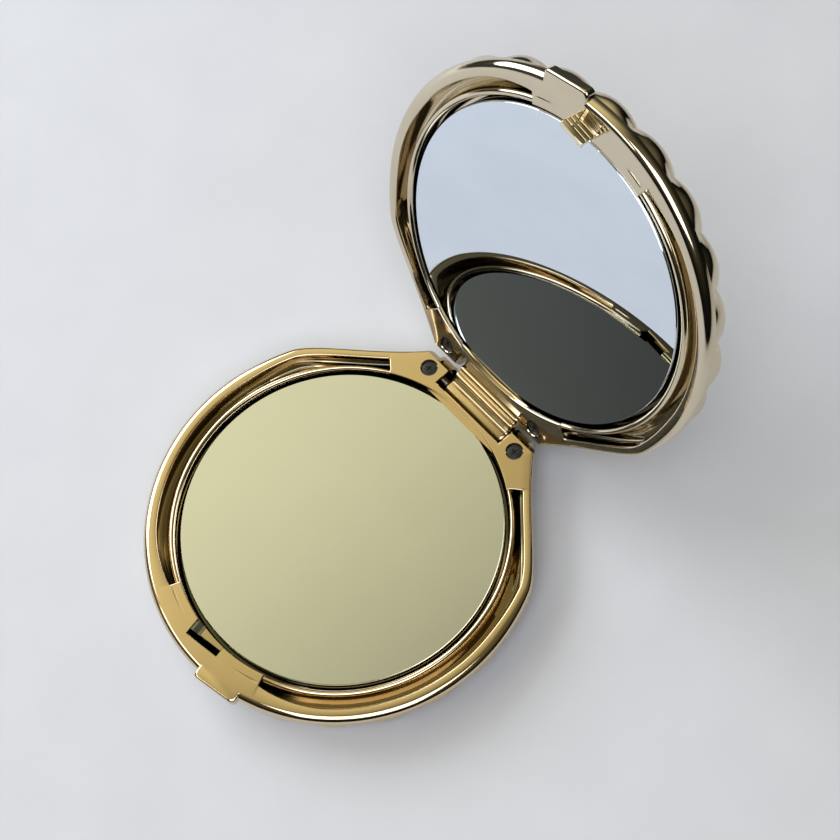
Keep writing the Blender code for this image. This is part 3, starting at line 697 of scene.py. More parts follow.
    def _dip(self, size: float) -> float:
        """The faint sink in the deck beyond a pocket's clasp end."""
        beyond = 31 * (self.pocket_clasp_end - size)
        if beyond <= 0.3:
            return 0.0
        return 0.05 * smooth(0.3, 1.0, beyond) * (1 - smooth(1.5, 6.5, beyond))

    @staticmethod
    def _inset(station: Station, amount: float) -> Vector:
        """A point this far inside the outline, on the line to the mirror's centre."""
        inward = -station.edge.normalized()
        lean = max(-inward.dot(station.normal), 0.5)
        return station.edge + inward * (amount / lean)

    def _column(self, station: Station) -> list[Vector]:
        """The moulding's section at a station, from the cup's underside out, over and in."""
        size = abs(station.angle)
        ring_in = polar(self.ring_inner, station.ring_angle)
        near_hinge = smooth(math.radians(110), math.radians(140), size)
        outer = blend(self.ring_outer, self.ring_outer_at_hinge, near_hinge)
        ring_out = polar(outer, station.ring_angle)
        down = Vector((0, 0, -1))
        column = [
            ring_in * 0.3 + down * self.cup_depth,
            ring_in + down * self.cup_depth,
            polar(self.cup_radius, station.ring_angle) + down * self.cup_depth,
        ]
        for inset, depth in self.underside:
            column.append(self._inset(station, inset) + down * depth)
        width = self._rounding(station)
        column.append(station.edge + down * self.rim_thickness)
        for step in range(10):
            turn = math.pi / 2 * step / 9
            point = station.edge - station.normal * (width * (1 - math.cos(turn)))
            column.append(point + down * (width * (1 - math.sin(turn))))
        rim_edge = self._inset(station, self._rim_inset(size))
        keep, limit = self._squeeze(size), self._end_depth(size)
        dip = self._dip(size)
        for share, depth in self.pocket_section:
            place = 0.5 + (share - 0.5) * keep
            hollow = dip * math.sin(math.pi * share) ** 2
            point = rim_edge.lerp(ring_out, place)
            column.append(point + down * (min(depth, limit) + hollow))
        for share, depth in self.ring_section:
            corner = max(share - 0.8, 0) / 0.2
            lip = 0.25 * (1 - math.sqrt(max(1 - corner * corner, 0)))
            point = ring_out.lerp(ring_in, share)
            column.append(point + down * max(min(depth, limit), lip))
        column.append(ring_in + down * 1.6)
        column.append(ring_in + down * (self.seat_depth - 0.2))
        column.append(ring_in * 0.99 + down * self.seat_depth)
        column.append(ring_in * 0.2 + down * self.seat_depth)
        return column

    def build(self) -> bmesh.types.BMesh:
        """The closed moulding before its ears are added and its cuts are made."""
        columns = [self._column(station) for station in self._stations()]
        bm = bmesh.new()
        loft(bm, [list(ring) for ring in zip(*columns)])
        return bm


# ---------------------------------------------------------------- cuts


def block(
    x: tuple[float, float], y: tuple[float, float], z: tuple[float, float], lip: float = 0.0
) -> bmesh.types.BMesh:
    """A box, flared at the deck so that the cut it makes has a chamfer.

    Args:
        x: its limits along X.
        y: its limits along Y.
        z: its limits along Z.
        lip: the chamfer's width where the box passes z = 0.

    Returns:
        The box as a bmesh.
    """
    bm = bmesh.new()
    bmesh.ops.create_cube(bm, size=1)
    size = Vector((x[1] - x[0], y[1] - y[0], z[1] - z[0]))
    centre = Vector((x[0] + x[1], y[0] + y[1], z[0] + z[1])) / 2
    place = Matrix.Translation(centre) @ Matrix.Diagonal((*size, 1))
    bmesh.ops.transform(bm, matrix=place, verts=bm.verts)
    if lip:
        flare(bm, lip)
    return bm


def flare(bm: bmesh.types.BMesh, lip: float) -> None:
    """Cuts a solid level at one lip below the deck and splays what is above it outwards."""
    bmesh.ops.bisect_plane(
        bm, geom=bm.verts[:] + bm.edges[:] + bm.faces[:], plane_co=(0, 0, -lip), plane_no=(0, 0, 1)
    )
    above = [vert for vert in bm.verts if vert.co.z > -lip + 1e-4]
    centre = sum((vert.co for vert in above), Vector()) / len(above)
    rims = {vert: vert.co.copy() for vert in above}
    for vert, old in rims.items():
        grow = old.z + lip
        vert.co.x = old.x + math.copysign(grow, old.x - centre.x)
        vert.co.y = old.y + math.copysign(grow, old.y - centre.y)


LATCH_MIDDLE = Vector((0, -30.35, 0))


def latch_turn(half: Half) -> Matrix:
    """The latch's slight turn about its own middle; the lid has the other turn."""
    angle = math.radians(10 if half is Half.BASE else -10)
    there = Matrix.Translation(LATCH_MIDDLE)
    return there @ Matrix.Rotation(angle, 4, "Z") @ there.inverted()


def well(x: float, y: float, radius: float, depth: float, lip: float) -> bmesh.types.BMesh:
    """A round hole's cutter with a chamfered mouth."""
    over = 0.6  # how far the cutter stands above the deck
    bm = spun(
        [(0, -depth), (radius, -depth), (radius, -lip), (radius + lip + over, over), (0, over)], 48
    )
    bmesh.ops.translate(bm, vec=(x, y, 0), verts=bm.verts)
    return bm


def side_prism(
    profile: Sequence[tuple[float, float]], low: float, high: float
) -> bmesh.types.BMesh:
    """A prism along X between two places, its side view given as (y, z) corners."""
    bm = bmesh.new()
    verts = [bm.verts.new((low, y, z)) for y, z in profile]
    face = bm.faces.new(verts)
    raised = bmesh.ops.extrude_face_region(bm, geom=[face])["geom"]
    moved = [g for g in raised if isinstance(g, bmesh.types.BMVert)]
    bmesh.ops.translate(bm, vec=(high - low, 0, 0), verts=moved)
    bmesh.ops.recalc_face_normals(bm, faces=bm.faces)
    return bm


class Joiner:
    """Cuts and joins shapes with exact Booleans, and leaves a plain mesh."""

    def __init__(self, name: str, bm: bmesh.types.BMesh) -> None:
        """Starts from a shape in millimetres."""
        self.target = mesh_object(name, bm, Matrix.Scale(1 / MM, 4))

    def apply(self, shape: bmesh.types.BMesh, operation: str) -> None:
        """Applies one Boolean.

        Args:
            shape: the other shape, freed here.
            operation: UNION or DIFFERENCE.
        """
        group = bpy.data.collections.new("tools")
        bpy.context.scene.collection.children.link(group)
        tool = mesh_object("tool", shape, Matrix.Scale(1 / MM, 4))
        bpy.context.scene.collection.objects.unlink(tool)
        group.objects.link(tool)
        modifier = self.target.modifiers.new("cut", "BOOLEAN")
        modifier.operation = operation
        modifier.solver = "EXACT"
        modifier.operand_type = "COLLECTION"
        modifier.collection = group
        graph = bpy.context.evaluated_depsgraph_get()
        mesh = bpy.data.meshes.new_from_object(self.target.evaluated_get(graph))
        self.target.modifiers.clear()
        old, self.target.data = self.target.data, mesh
        bpy.data.meshes.remove(old)
        bpy.data.objects.remove(tool)
        bpy.data.collections.remove(group)

    def result(self, place: Matrix) -> bpy.types.Object:
        """The finished piece, moved from its own frame to its place."""
        self.target.data.transform(place @ Matrix.Scale(MM, 4))
        return self.target


# ---------------------------------------------------------------- hinge


@dataclass
class Hinge:
    """The two-pin link hinge's shared sizes."""

    pin_y: float = 31.3
    pin_depth: float = 3.7
    notch_half_width: float = 8.0
    notch_front: float = 29.3
    notch_depth: float = 5.65
    ear_front: float = 27.5
    ear_rear: float = 33.2
    ear_half_width: float = 11.3
    ear_depth: float = 6.9
    ear_chamfer: float = 0.9
    knuckle: float = 1.15
    stop_gap: float = 0.3
    link_half_width: float = 7.3
    link_radius: float = 1.75
    link_valley: float = 1.0
    link_bead: float = 0.48
    link_end_rounding: float = 0.6

    def __post_init__(self) -> None:
        """Reads the pins' places from the CAD joints."""
        first, second = (Vector(joint["pos_m"]) for joint in frame["joints"][:2])
        self.base_pin, self.lid_pin = first, second
        self.along = (second - first).normalized()
        self.length = (second - first).length / MM

    def half_place(self, half: Half) -> Matrix:
        """The matrix from a half's own frame, in metres, to the row frame."""
        to_pin = Matrix.Translation(Vector((0, -self.pin_y, self.pin_depth)) * MM)
        if half is Half.BASE:
            return Matrix.Translation(self.base_pin) @ to_pin
        bisector = Vector((0, self.along.z, -self.along.y))
        return Matrix.Translation(self.lid_pin) @ Matrix.Rotation(math.pi, 4, bisector) @ to_pin

    def ear_block(self) -> bmesh.types.BMesh:
        """The thick block under the deck that carries the pin, with its rounded knuckle behind."""
        rear, top, low = self.ear_rear, -self.ear_chamfer, -self.ear_depth
        profile = [(self.ear_front, -0.5), (self.ear_front, low), (rear, low)]
        for step in range(13):
            turn = math.pi * step / 12
            height = blend(low, top, (1 - math.cos(turn)) / 2)
            profile.append((rear + self.knuckle * max(math.sin(turn), 0.0) ** 0.55, height))
        profile.append((rear - 0.05, -0.5))
        return side_prism(profile, -self.ear_half_width, self.ear_half_width)

    def notch(self) -> bmesh.types.BMesh:
        """The link's notch, with its sloping stop at the rear and chamfered top edges."""
        along = Vector((self.along.y, self.along.z))
        touch = Vector((self.pin_y, -self.pin_depth))
        touch += Vector((along.y, -along.x)) * (self.link_radius + self.stop_gap)
        start = touch + along * ((-self.notch_depth - touch.y) / along.y)
        end = start + along * 4
        profile = [
            (self.notch_front, 0.6),
            (self.notch_front, -self.notch_depth),
            (start.x, start.y),
            (end.x, end.y),
            (end.x, 0.6),
        ]
        bm = side_prism(profile, -self.notch_half_width, self.notch_half_width)
        flare(bm, 0.14)
        return bm

    def rear_chamfer(self) -> bmesh.types.BMesh:
        """What the ears' rear top edge loses."""
        rear, cut = self.ear_rear, self.ear_chamfer
        return side_prism([(rear - cut - 1, 1), (rear + 1, -cut - 1), (rear + 2, 1)], -20, 20)

    def link_height(self, place: float) -> float:
        """How far the link's inner face stands from the line of pins at a place along it."""
        near = min(place, self.length - place)
        barrel = math.sqrt(max(self.link_radius**2 - near**2, 0))
        bead_at, bead_half = self.length / 2 - 0.74, 0.7
        bulge = max(1 - ((near - bead_at) / bead_half) ** 2, 0)
        bead = self.link_valley - 0.25 + (self.link_bead + 0.25) * math.sqrt(bulge)
        return soft_max(soft_max(barrel, self.link_valley, 0.25), bead, 0.12)

    def link_profile(self) -> list[Vector]:
        """The link's side view as points (0, along, out), anticlockwise seen from +X."""
        radius = self.link_radius
        points = []
        for step in range(24):
            turn = math.pi / 2 + math.pi * step / 24
            points.append((radius * math.cos(turn), radius * math.sin(turn)))
        points += [(self.length * k / 12, -radius) for k in range(12)]
        for step in range(24):
            turn = -math.pi / 2 + math.pi * step / 24
            points.append((self.length + radius * math.cos(turn), radius * math.sin(turn)))
        for step in range(96):
            place = self.length * (1 - step / 96)
            points.append((place, self.link_height(place)))
        return [Vector((0, along, out)) for along, out in points]

    def build_link(self) -> bpy.types.Object:
        """The solid link with rounded ends."""
        bm = rounded_bar(self.link_profile(), self.link_half_width, self.link_end_rounding)
        out = Vector((0, -self.along.z, self.along.y))
        turn = Matrix((Vector((1, 0, 0)), self.along, out)).transposed().to_4x4()
        return mesh_object("link_block", bm, Matrix.Translation(self.base_pin) @ turn)


def rounded_bar(
    profile: Sequence[Vector], half_width: float, rounding: float, middle: float = 0.0
) -> bmesh.types.BMesh:
    """A bar along X with this side view and rounded ends.

    Args:
        profile: closed side view, x ignored.
        half_width: half the bar's length along X.
        rounding: radius of the end edges.
        middle: the bar's middle along X.

    Returns:
        The closed bar.
    """
    flat = [Vector((point.y, point.z, 0)) for point in profile]
    normals = polyline_normals(flat, closed=True)
    insets = []
    for step in range(8):
        turn = math.pi / 2 * step / 7
        insets.append((half_width - rounding * (1 - math.sin(turn)), 1 - math.cos(turn)))
    insets = [(x, inset * rounding) for x, inset in insets]
    runs = [(-x, inset) for x, inset in reversed(insets)] + insets
    rings = []
    for x, inset in runs:
        ring = []
        for point, normal in zip(flat, normals):
            moved = point - normal * inset
            ring.append(Vector((middle + x, moved.x, moved.y)))
        rings.append(ring)
    bm = bmesh.new()
    loft(bm, rings)
    return bm


# ---------------------------------------------------------------- outer shell


@dataclass
class ScallopShell:
    """The ribbed outer shell: a dome whose ribs fan out from the hinge."""

    outline: Outline
    seam_depth: float = 2.1
    seam_inset: float = 0.3
    wall: float = 0.8
    ribs: int = 15
    rib_depth: float = 1.05
    rib_depth_at_hinge: float = 0.12
    columns_per_rib: int = 14
    rows: int = 64
    wall_rows: int = 5
    wall_depth: tuple[float, float] = (3.2, 6.8)
    shoulder_depth: tuple[float, float] = (4.6, 1.8)
    shoulder_width: tuple[float, float] = (9.0, 2.0)
    hinge_blend: tuple[float, float] = (12.0, 29.0)
    crown: float = 1.6
    crown_centre: float = 6.0
    crown_radius: float = 34.0
    rear_rounding: tuple[float, float] = (1.2, 0.4)
    half_height: float = 8.6

    def __post_init__(self) -> None:
        """Collects the border that the dome falls to: both flanks and the round front."""
        side = [s for s in self.outline.samples if s[1].y < self.outline.ear_corner.y - 0.05]
        left = [(Vector((-p.x, p.y, 0)), Vector((-n.x, n.y, 0))) for _, p, n in side[:0:-1]]
        self.border = left + [(p, n) for _, p, n in side]
        self.nearest = KDTree(len(self.border))
        for index, (point, _) in enumerate(self.border):
            self.nearest.insert(point, index)
        self.nearest.balance()

    def _plan(self, u: float, v: float) -> Vector:
        """The plan point at u across, left to right, and v from the rear to the front."""
        outline = self.outline
        arc = outline.arc_half_angle
        start = polar(outline.radius, arc)
        pull = start + Vector((math.cos(arc), math.sin(arc), 0)) * outline.flank_start_pull
        corner = outline.ear_corner
        corner_pull = corner - outline.flank_direction * outline.flank_end_pull
        back = 1 - v
        flank = corner * back**3 + corner_pull * (3 * back * back * v)
        flank = flank + pull * (3 * back * v * v) + start * v**3
        front = polar(outline.radius, (2 * u - 1) * arc)

        def across(point: Vector) -> Vector:
            """The point slid to its place between the left flank and the right."""
            return Vector((-point.x, point.y, 0)).lerp(point, u)

        return across(corner).lerp(front, v) + across(flank) - across(corner).lerp(across(start), v)

    def _crest(self, u: float) -> float:
        """0 in a valley and 1 on a rib's crest; the two outer ribs stay full at the flanks."""
        place = u * self.ribs
        if place < 0.5 or place > self.ribs - 0.5:
            return 1.0
        return 1 - (2 * (place % 1) - 1) ** 2

    def _point(self, u: float, v: float, rise: float, floor: float, inner: bool) -> Vector:
        """A point of one skin; rise is 0 on the dome and its edge and 1 at the seam."""
        plan = self._plan(u, v)
        nearest, outward = self.border[self.nearest.find(plan)[1]]
        edge = max((nearest - plan).dot(outward) - 0.02, 0)
        hinge = smooth(*self.hinge_blend, plan.y)
        wall = blend(*self.wall_depth, hinge)
        shoulder = blend(*self.shoulder_depth, hinge)
        width = blend(*self.shoulder_width, hinge)
        tilt = math.acos(max(1 - edge / width, 0))
        from_crown = (plan - Vector((0, self.crown_centre, 0))).length / self.crown_radius
        crown = self.crown * max(1 - from_crown**2, 0) * math.sin(tilt)
        depth = wall + shoulder * math.sin(tilt) + crown
        into_rear = plan.y - (self.outline.ear_corner.y - self.rear_rounding[0])
        depth -= self.rear_rounding[1] * (max(into_rear, 0) / self.rear_rounding[0]) ** 2
        ribs = self.rib_depth_at_hinge + (self.rib_depth - self.rib_depth_at_hinge) * v**1.3
        if rise:
            depth = blend(wall, self.seam_depth, rise)
            plan = plan - outward * (self.seam_inset * rise**2)
        sink = ribs * (1 - self._crest(u)) * (1 - rise)
        if inner:
            sink = self.wall + ribs * (1 - rise)
        point = plan - outward * (sink * math.cos(tilt))
        point.z = sink * math.sin(tilt) - depth
        if not inner:
            point.z = max(point.z, -floor)
        elif not rise:
            point.z = max(point.z, -floor + self.wall)
        return point

    def _skin(self, bm: bmesh.types.BMesh, floor: float, inner: bool) -> None:
        """Adds one skin, open along its seam and its rear."""
        columns = self.ribs * (3 if inner else self.columns_per_rib)
        rows = self.rows // 3 if inner else self.rows
        grid = bmesh.ops.create_grid(bm, x_segments=columns, y_segments=rows, size=0.5)
        spots: dict[bmesh.types.BMVert, tuple[float, float]] = {}
        for vert in grid["verts"]:
            v = vert.co.y + 0.5
            spots[vert] = (vert.co.x + 0.5, 1 - (1 - v) ** 1.6)
        for vert, spot in spots.items():
            vert.co = self._point(*spot, 0, floor, inner)
        edges = [
            edge
            for edge in bm.edges
            if edge.is_boundary
            and edge.verts[0] in spots
            and not all(spots[vert][1] < 1e-6 for vert in edge.verts)
        ]
        for level in range(1, self.wall_rows + 1):
            below = {vert for edge in edges for vert in edge.verts}
            added = bmesh.ops.extrude_edge_only(bm, edges=edges)["geom"]
            fresh = {g for g in added if isinstance(g, bmesh.types.BMVert)}
            edges = [
                g for g in added if isinstance(g, bmesh.types.BMEdge) and set(g.verts) <= fresh
            ]
            for vert in fresh:
                under = (edge.other_vert(vert) for edge in vert.link_edges)
                spots[vert] = spots[next(other for other in under if other in below)]
            for vert in fresh:
                vert.co = self._point(*spots[vert], level / self.wall_rows, floor, inner)

    def build(self, name: str, half: Half, place: Matrix) -> bpy.types.Object:
        """The shell as a closed wall.

        Args:
            name: the piece's name.
            half: the base's shell is flattened where it stands.
            place: from the half's frame to the row frame.

        Returns:
            The new piece.
        """
        floor = self.half_height + (0 if half is Half.BASE else self.crown)
        bm = bmesh.new()
        self._skin(bm, floor, False)
        self._skin(bm, floor, True)
        bmesh.ops.bridge_loops(bm, edges=[edge for edge in bm.edges if edge.is_boundary])
        bmesh.ops.recalc_face_normals(bm, faces=bm.faces)
        made = mesh_object(name, bm, place)
        shade(made, 40)
        return made


# ---------------------------------------------------------------- a half and its pieces


@dataclass
class MirrorGlass:
    """The round mirror: a silvered face inside a ground edge."""

    radius: float = 28.0
    face_depth: float = 0.6
    thickness: float = 1.8
    bevel: float = 0.22

    def build(self, name: str, place: Matrix) -> bpy.types.Object:
        """A spun disc; faces off the flat front take the ground edge's slot."""
        top, back = -self.face_depth, -self.face_depth - self.thickness
        profile = [
            (0, top),
            (self.radius - self.bevel, top),
            (self.radius - 0.05, top - self.bevel + 0.03),
            (self.radius, top - self.bevel - 0.08),
            (self.radius, back + 0.1),
            (self.radius - 0.1, back),
            (0, back),
        ]
        bm = spun(profile, 360)
        for face in bm.faces:
            face.material_index = 0 if face.normal.z > 0.99 else 1
        made = mesh_object(name, bm, place)
        shade(made, 25)
        return made


@dataclass
class WellScrew:
    """A blackened screw down in its well."""

    x: float = 10.95
    y: float = 30.3
    head_radius: float = 1.42
    head_top: float = 0.3
    head_height: float = 0.9
    head_dome: float = 0.14
    shank_radius: float = 0.65
    tip_depth: float = 7.7
    slot_half_width: float = 0.09
    slot_reach: float = 0.55
    slot_depth: float = 0.4

    def build(self, name: str, side: int, place: Matrix) -> bpy.types.Object:
        """The screw's domed head, its shank and its cross recess."""
        top, low = -self.head_top, -self.head_top - self.head_height
        radius = self.head_radius
        profile = [(0, top)]
        for share in (0.2, 0.4, 0.6, 0.8, 0.9, 0.97, 1.0):
            profile.append((radius * share, top - self.head_dome * share**4))
        shank, tip = self.shank_radius, -self.tip_depth
        profile += [(radius, low), (shank, low), (shank, tip + 0.1), (0, tip)]
        joiner = Joiner(name, spun(profile, 40))
        wide, reach = self.slot_half_width, self.slot_reach
        z = (top - self.slot_depth, top + 0.5)
        joiner.apply(block((-reach, reach), (-wide, wide), z), "DIFFERENCE")
        joiner.apply(block((-wide, wide), (-reach, reach), z), "DIFFERENCE")
        centre = Vector((side * self.x, self.y, 0)) * MM
        made = joiner.result(place @ Matrix.Translation(centre))
        shade(made)
        return made


@dataclass
class LatchHook:
    """The lid's hook, in the lid's own frame: a ridged leg with a barb towards the mirror."""

    left: float = -1.25
    right: float = 3.45
    outer: float = -30.75
    inner: float = -30.0
    barb: float = -29.5
    height: float = 3.45
    foot_depth: float = 0.8
    ridge: float = 0.16

    def profile(self) -> list[Vector]:
        """Side view: up the ridged outer face, over the tip, and down past the barb."""
        points = []
        for step in range(61):
            z = -self.foot_depth + (self.height + self.foot_depth - 0.3) * step / 60
            wave = 0.0
            if z > 0.35:
                wave = self.ridge * abs(math.sin(math.pi * (z - 0.35) / 0.95)) ** 0.8
            points.append((self.outer - wave, z))
        points += [
            (self.outer + 0.04, self.height - 0.12),
            (self.outer + 0.18, self.height),
            (self.inner - 0.05, self.height),
            (self.inner + 0.14, self.height - 0.08),
            (self.barb - 0.06, self.height - 0.5),
            (self.barb, self.height - 0.62),
            (self.barb - 0.08, self.height - 0.75),
            (self.inner, self.height - 0.95),
            (self.inner, 0.25),
            (self.inner + 0.1, 0.05),
            (self.inner + 0.9, 0.02),
            (self.inner + 0.95, -self.foot_depth),
        ]
        return [Vector((0, y, z)) for y, z in reversed(points)]

    def build(self, place: Matrix) -> bpy.types.Object:
        """The hook as one piece."""
        middle, half = (self.left + self.right) / 2, (self.right - self.left) / 2
        bm = rounded_bar(self.profile(), half, 0.14, middle)
        made = mesh_object("hook_block", bm, place @ in_metres(latch_turn(Half.LID)))
        shade(made, 40)
        return made


@dataclass
class CompactHalf:
    """One half of the compact, with every piece that shows."""

    half: Half
    outline: Outline
    hinge: Hinge
    screw: WellScrew = field(default_factory=WellScrew)
    latch_x: tuple[float, float] = (-3.5, 3.0)
    slot_y: tuple[float, float] = (-31.0, -29.8)
    open_end_x: float = -1.8
    open_end_depth: float = 3.1
    slot_depth: float = 5.2
    slot_lip: float = 0.14
    ledge_depth: float = 1.3
    well_radius: float = 1.45
    well_depth: float = 1.9
    well_lip: float = 0.12

    def _latch_cuts(self) -> list[bmesh.types.BMesh]:
        """The base's slot, its open end, the lowered ledge and the barb's pocket under it."""
        inside = -28.0  # past the ring's inner wall
        over = 0.5  # how far each cutter stands above the deck
        left, right = self.latch_x
        outer, inner = self.slot_y
        open_end = self.open_end_x
        cuts = [
            block((open_end - 0.2, right), (inner - 0.1, inside), (-self.ledge_depth, over), 0.1),
            block((left, open_end), (outer, inside), (-self.open_end_depth, over), self.slot_lip),
            block((left, right), (outer, inner), (-self.slot_depth, over), self.slot_lip),
            block((open_end - 0.3, 1.7), (inner - 0.15, -29.2), (-3.6, -1.75)),
        ]
        return [self._turned(cut) for cut in cuts]

    def _hook_cuts(self) -> list[bmesh.types.BMesh]:
        """The lid's shallow recess behind the hook."""
        return [self._turned(block((-0.9, 2.6), (-32.8, LatchHook().outer), (-0.8, 0.5), 0.12))]

    def _turned(self, cut: bmesh.types.BMesh) -> bmesh.types.BMesh:
        """A latch cut with this half's turn."""
        bmesh.ops.transform(cut, matrix=latch_turn(self.half), verts=cut.verts)
        return cut

    def build_frame(self, place: Matrix) -> bpy.types.Object:
        """The inner frame with its ears, wells, notch and latch cuts."""
        moulding = FrameMoulding(self.outline)
        joiner = Joiner(f"{self.half.value}_frame_moulding", moulding.build())
        for part in (self.hinge.ear_block(), ThumbTab().build()):
            joiner.apply(part, "UNION")
        cuts = [self.hinge.notch(), self.hinge.rear_chamfer()]
        for side in (-1, 1):
            x = side * self.screw.x
            cuts.append(well(x, self.screw.y, self.well_radius, self.well_depth, self.well_lip))
        cuts += self._latch_cuts() if self.half is Half.BASE else self._hook_cuts()
        for cut in cuts:
            joiner.apply(cut, "DIFFERENCE")
        made = joiner.result(place)
        shade(made, 28)
        return made

    def build(self) -> None:
        """Builds, dresses and hangs every piece of this half."""
        name = self.half.value
        place = self.hinge.half_place(self.half)
        gold = BASE_GOLD if self.half is Half.BASE else LID_GOLD
        # painted shade and dark reflections in the pockets; the outer pocket walls of the base take
        # it too
        recess_shade = PaintedRecessShade(place.inverted(), 0.8 if self.half is Half.BASE else 0.0)
        frame_gold = replace(gold, name=f"{gold.name}_frame", recess=recess_shade)
        self._finish(self.build_frame(place), f"{name}_inner_frame", frame_gold)
        shell = ScallopShell(self.outline).build(f"{name}_scallop_shell", self.half, place)
        self._finish(shell, f"{name}_outer_shell", gold)
        glass = MirrorGlass().build(f"{name}_mirror_glass", place)
        dress(glass, make(MIRROR_FACE), make(MIRROR_RIM))
        self._hang(glass, f"{name}_mirror")
        for end, side in (("left", -1), ("right", 1)):
            screw = self.screw.build(f"{name}_well_screw_{end}", side, place)
            self._finish(screw, f"{name}_screw_{end}", BLACK_STEEL)
        if self.half is Half.LID:
            self._finish(LatchHook().build(place), "latch_hook", HOOK_GOLD)
        dress(frame["nodes"][f"{name}_mirror_pad"], make(BLACK_PAD))
        dress(frame["nodes"][f"{name}_hinge_pin"], make(PIN_STEEL))

    def _finish(self, made: bpy.types.Object, node: str, finish: Finish) -> None:
        """Dresses a piece in one finish and hangs it on this half's body."""
        dress(made, make(finish))
        self._hang(made, node)

    def _hang(self, made: bpy.types.Object, node: str) -> None:
        """Puts a piece on this half's body in the place of its CAD node."""
        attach(made, self.half.value)
        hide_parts(node)
        log.info("%s: %d faces", made.name, len(made.data.polygons))


_made: dict[str, bpy.types.Material] = {}


def make(finish: Finish) -> bpy.types.Material:
    """A finish's material, built the first time it is asked for."""
    if finish.name not in _made:
        _made[finish.name] = finish.material()
    return _made[finish.name]


# ---------------------------------------------------------------- stage


@dataclass(frozen=True)
class SoftLamp:
    """A soft rectangular light aimed at the compact."""

    name: str
    way: Triple
    distance: float
    size: tuple[float, float]
    power: float
    colour: Colour

    def build(self) -> None:
        """Hangs the lamp."""
        light = bpy.data.lights.new(self.name, "AREA")
        light.shape = "RECTANGLE"
        light.size, light.size_y = self.size
        light.energy = self.power
        light.color = self.colour
        lamp = bpy.data.objects.new(self.name, light)
        way = Vector(self.way)
        lamp.location = way.normalized() * self.distance
        lamp.rotation_euler = way.to_track_quat("Z", "Y").to_euler()
        bpy.context.scene.collection.objects.link(lamp)


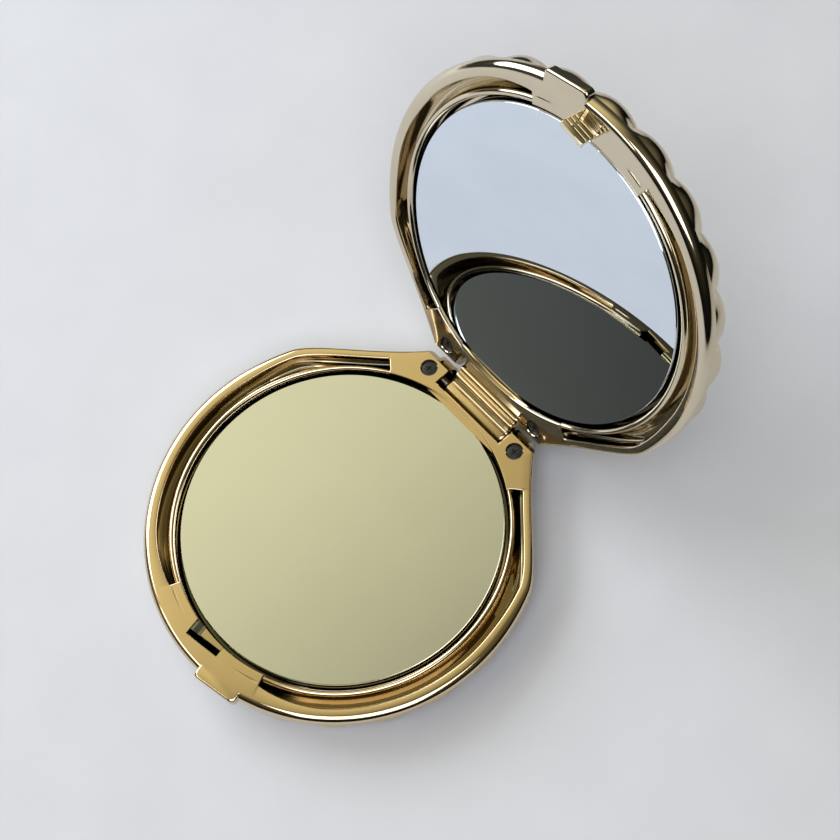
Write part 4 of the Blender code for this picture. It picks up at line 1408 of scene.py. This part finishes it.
@dataclass
class Studio:
    """A pale table by a window, in a dim warm room."""

    floor_size: float = 3.0
    lamps: tuple[SoftLamp, ...] = (
        SoftLamp("window", (-0.8, -0.1, 0.58), 0.62, (0.5, 0.42), 2.5, (0.90, 0.94, 1.04)),
        SoftLamp("overhead", (0.33, -0.3, 0.9), 1.1, (0.75, 0.75), 5.6, (0.96, 0.98, 1.05)),
        SoftLamp("softbox", (-0.32, -0.62, 0.72), 1.0, (0.42, 0.24), 1.0, (1.0, 0.98, 0.92)),
    )
    # (height of the direction, colour) up the room
    room: tuple[tuple[float, Colour], ...] = (
        (0.0, (0.022, 0.026, 0.026)),
        (0.25, (0.04, 0.042, 0.04)),
        (0.45, (0.12, 0.11, 0.085)),
        (0.75, (0.43, 0.38, 0.22)),
        (0.93, (0.75, 0.66, 0.372)),
    )
    brighter_way: Triple = (-1.0, 0.0, 0.0)
    brighter_gain: float = 3.3
    brighter_from: float = 0.318
    brightness_limits: tuple[float, float] = (0.2, 1.7)

    def build(self) -> None:
        """The table, the room that the metal reflects, and the lamps."""
        bpy.context.scene.view_settings.view_transform = "Standard"
        self._table()
        self._room()
        for lamp in self.lamps:
            lamp.build()

    def _table(self) -> None:
        """A wide sheet of pale paper."""
        bm = bmesh.new()
        bmesh.ops.create_grid(bm, x_segments=1, y_segments=1, size=self.floor_size / MM / 2)
        floor = mesh_object("table", bm, Matrix.Translation((0, 0, -0.00002)))
        dress(floor, make(PAPER))

    def _room(self) -> None:
        """A dim room: dark at the horizon, warm beige overhead and brighter to one side."""
        world = bpy.data.worlds.new("room")
        world.use_nodes = True
        tree = world.node_tree
        background = tree.nodes["Background"]
        where = tree.nodes.new("ShaderNodeTexCoord")
        split = tree.nodes.new("ShaderNodeSeparateXYZ")
        ramp = tree.nodes.new("ShaderNodeValToRGB")
        elements = ramp.color_ramp.elements
        for index, (place, colour) in enumerate(self.room):
            element = elements[index] if index < 2 else elements.new(place)
            element.position = place
            element.color = (*colour, 1)
        side = tree.nodes.new("ShaderNodeVectorMath")
        side.operation = "DOT_PRODUCT"
        side.inputs[1].default_value = self.brighter_way
        gain = tree.nodes.new("ShaderNodeMapRange")
        low, high = self.brightness_limits
        gain.inputs["From Min"].default_value = self.brighter_from + (low - 1) / self.brighter_gain
        gain.inputs["From Max"].default_value = self.brighter_from + (high - 1) / self.brighter_gain
        gain.inputs["To Min"].default_value = low
        gain.inputs["To Max"].default_value = high
        tree.links.new(where.outputs["Generated"], split.inputs["Vector"])
        tree.links.new(where.outputs["Generated"], side.inputs[0])
        tree.links.new(side.outputs["Value"], gain.inputs["Value"])
        tree.links.new(split.outputs["Z"], ramp.inputs["Fac"])
        tree.links.new(ramp.outputs["Color"], background.inputs["Color"])
        tree.links.new(gain.outputs["Result"], background.inputs["Strength"])
        bpy.context.scene.world = world


@dataclass
class Viewpoint:
    """Where the compact is seen from."""

    target: Vector = field(default_factory=lambda: Vector((-4.66, 22.46, 8.6)) * MM)
    turn: float = math.radians(59.45)  # from the clasp side towards +X
    height: float = math.radians(67.53)
    roll: float = math.radians(12.42)
    distance: float = 0.2952
    lens_mm: float = 72.66

    def build(self) -> None:
        """Sets up the camera."""
        flat = math.cos(self.height)
        way = Vector(
            (math.sin(self.turn) * flat, -math.cos(self.turn) * flat, math.sin(self.height))
        )
        camera_data = bpy.data.cameras.new("camera")
        camera_data.lens = self.lens_mm
        camera_data.sensor_width = 36.0
        camera_data.clip_start = 0.01
        camera = bpy.data.objects.new("camera", camera_data)
        turn = way.to_track_quat("Z", "Y").to_matrix().to_4x4()
        camera.matrix_world = (
            Matrix.Translation(self.target + way * self.distance)
            @ turn
            @ Matrix.Rotation(-self.roll, 4, "Z")
        )
        bpy.context.scene.collection.objects.link(camera)
        bpy.context.scene.camera = camera


def main() -> None:
    """Builds the stage and both halves, joined by the link."""
    Viewpoint().build()
    Studio().build()
    outline = Outline()
    hinge = Hinge()
    for half in Half:
        CompactHalf(half, outline, hinge).build()
    link = hinge.build_link()
    shade(link, 40)
    dress(link, make(BASE_GOLD))
    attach(link, "link")
    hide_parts("hinge_link")
    log.info("%s: %d faces", link.name, len(link.data.polygons))


if __name__ == "__main__":
    main()
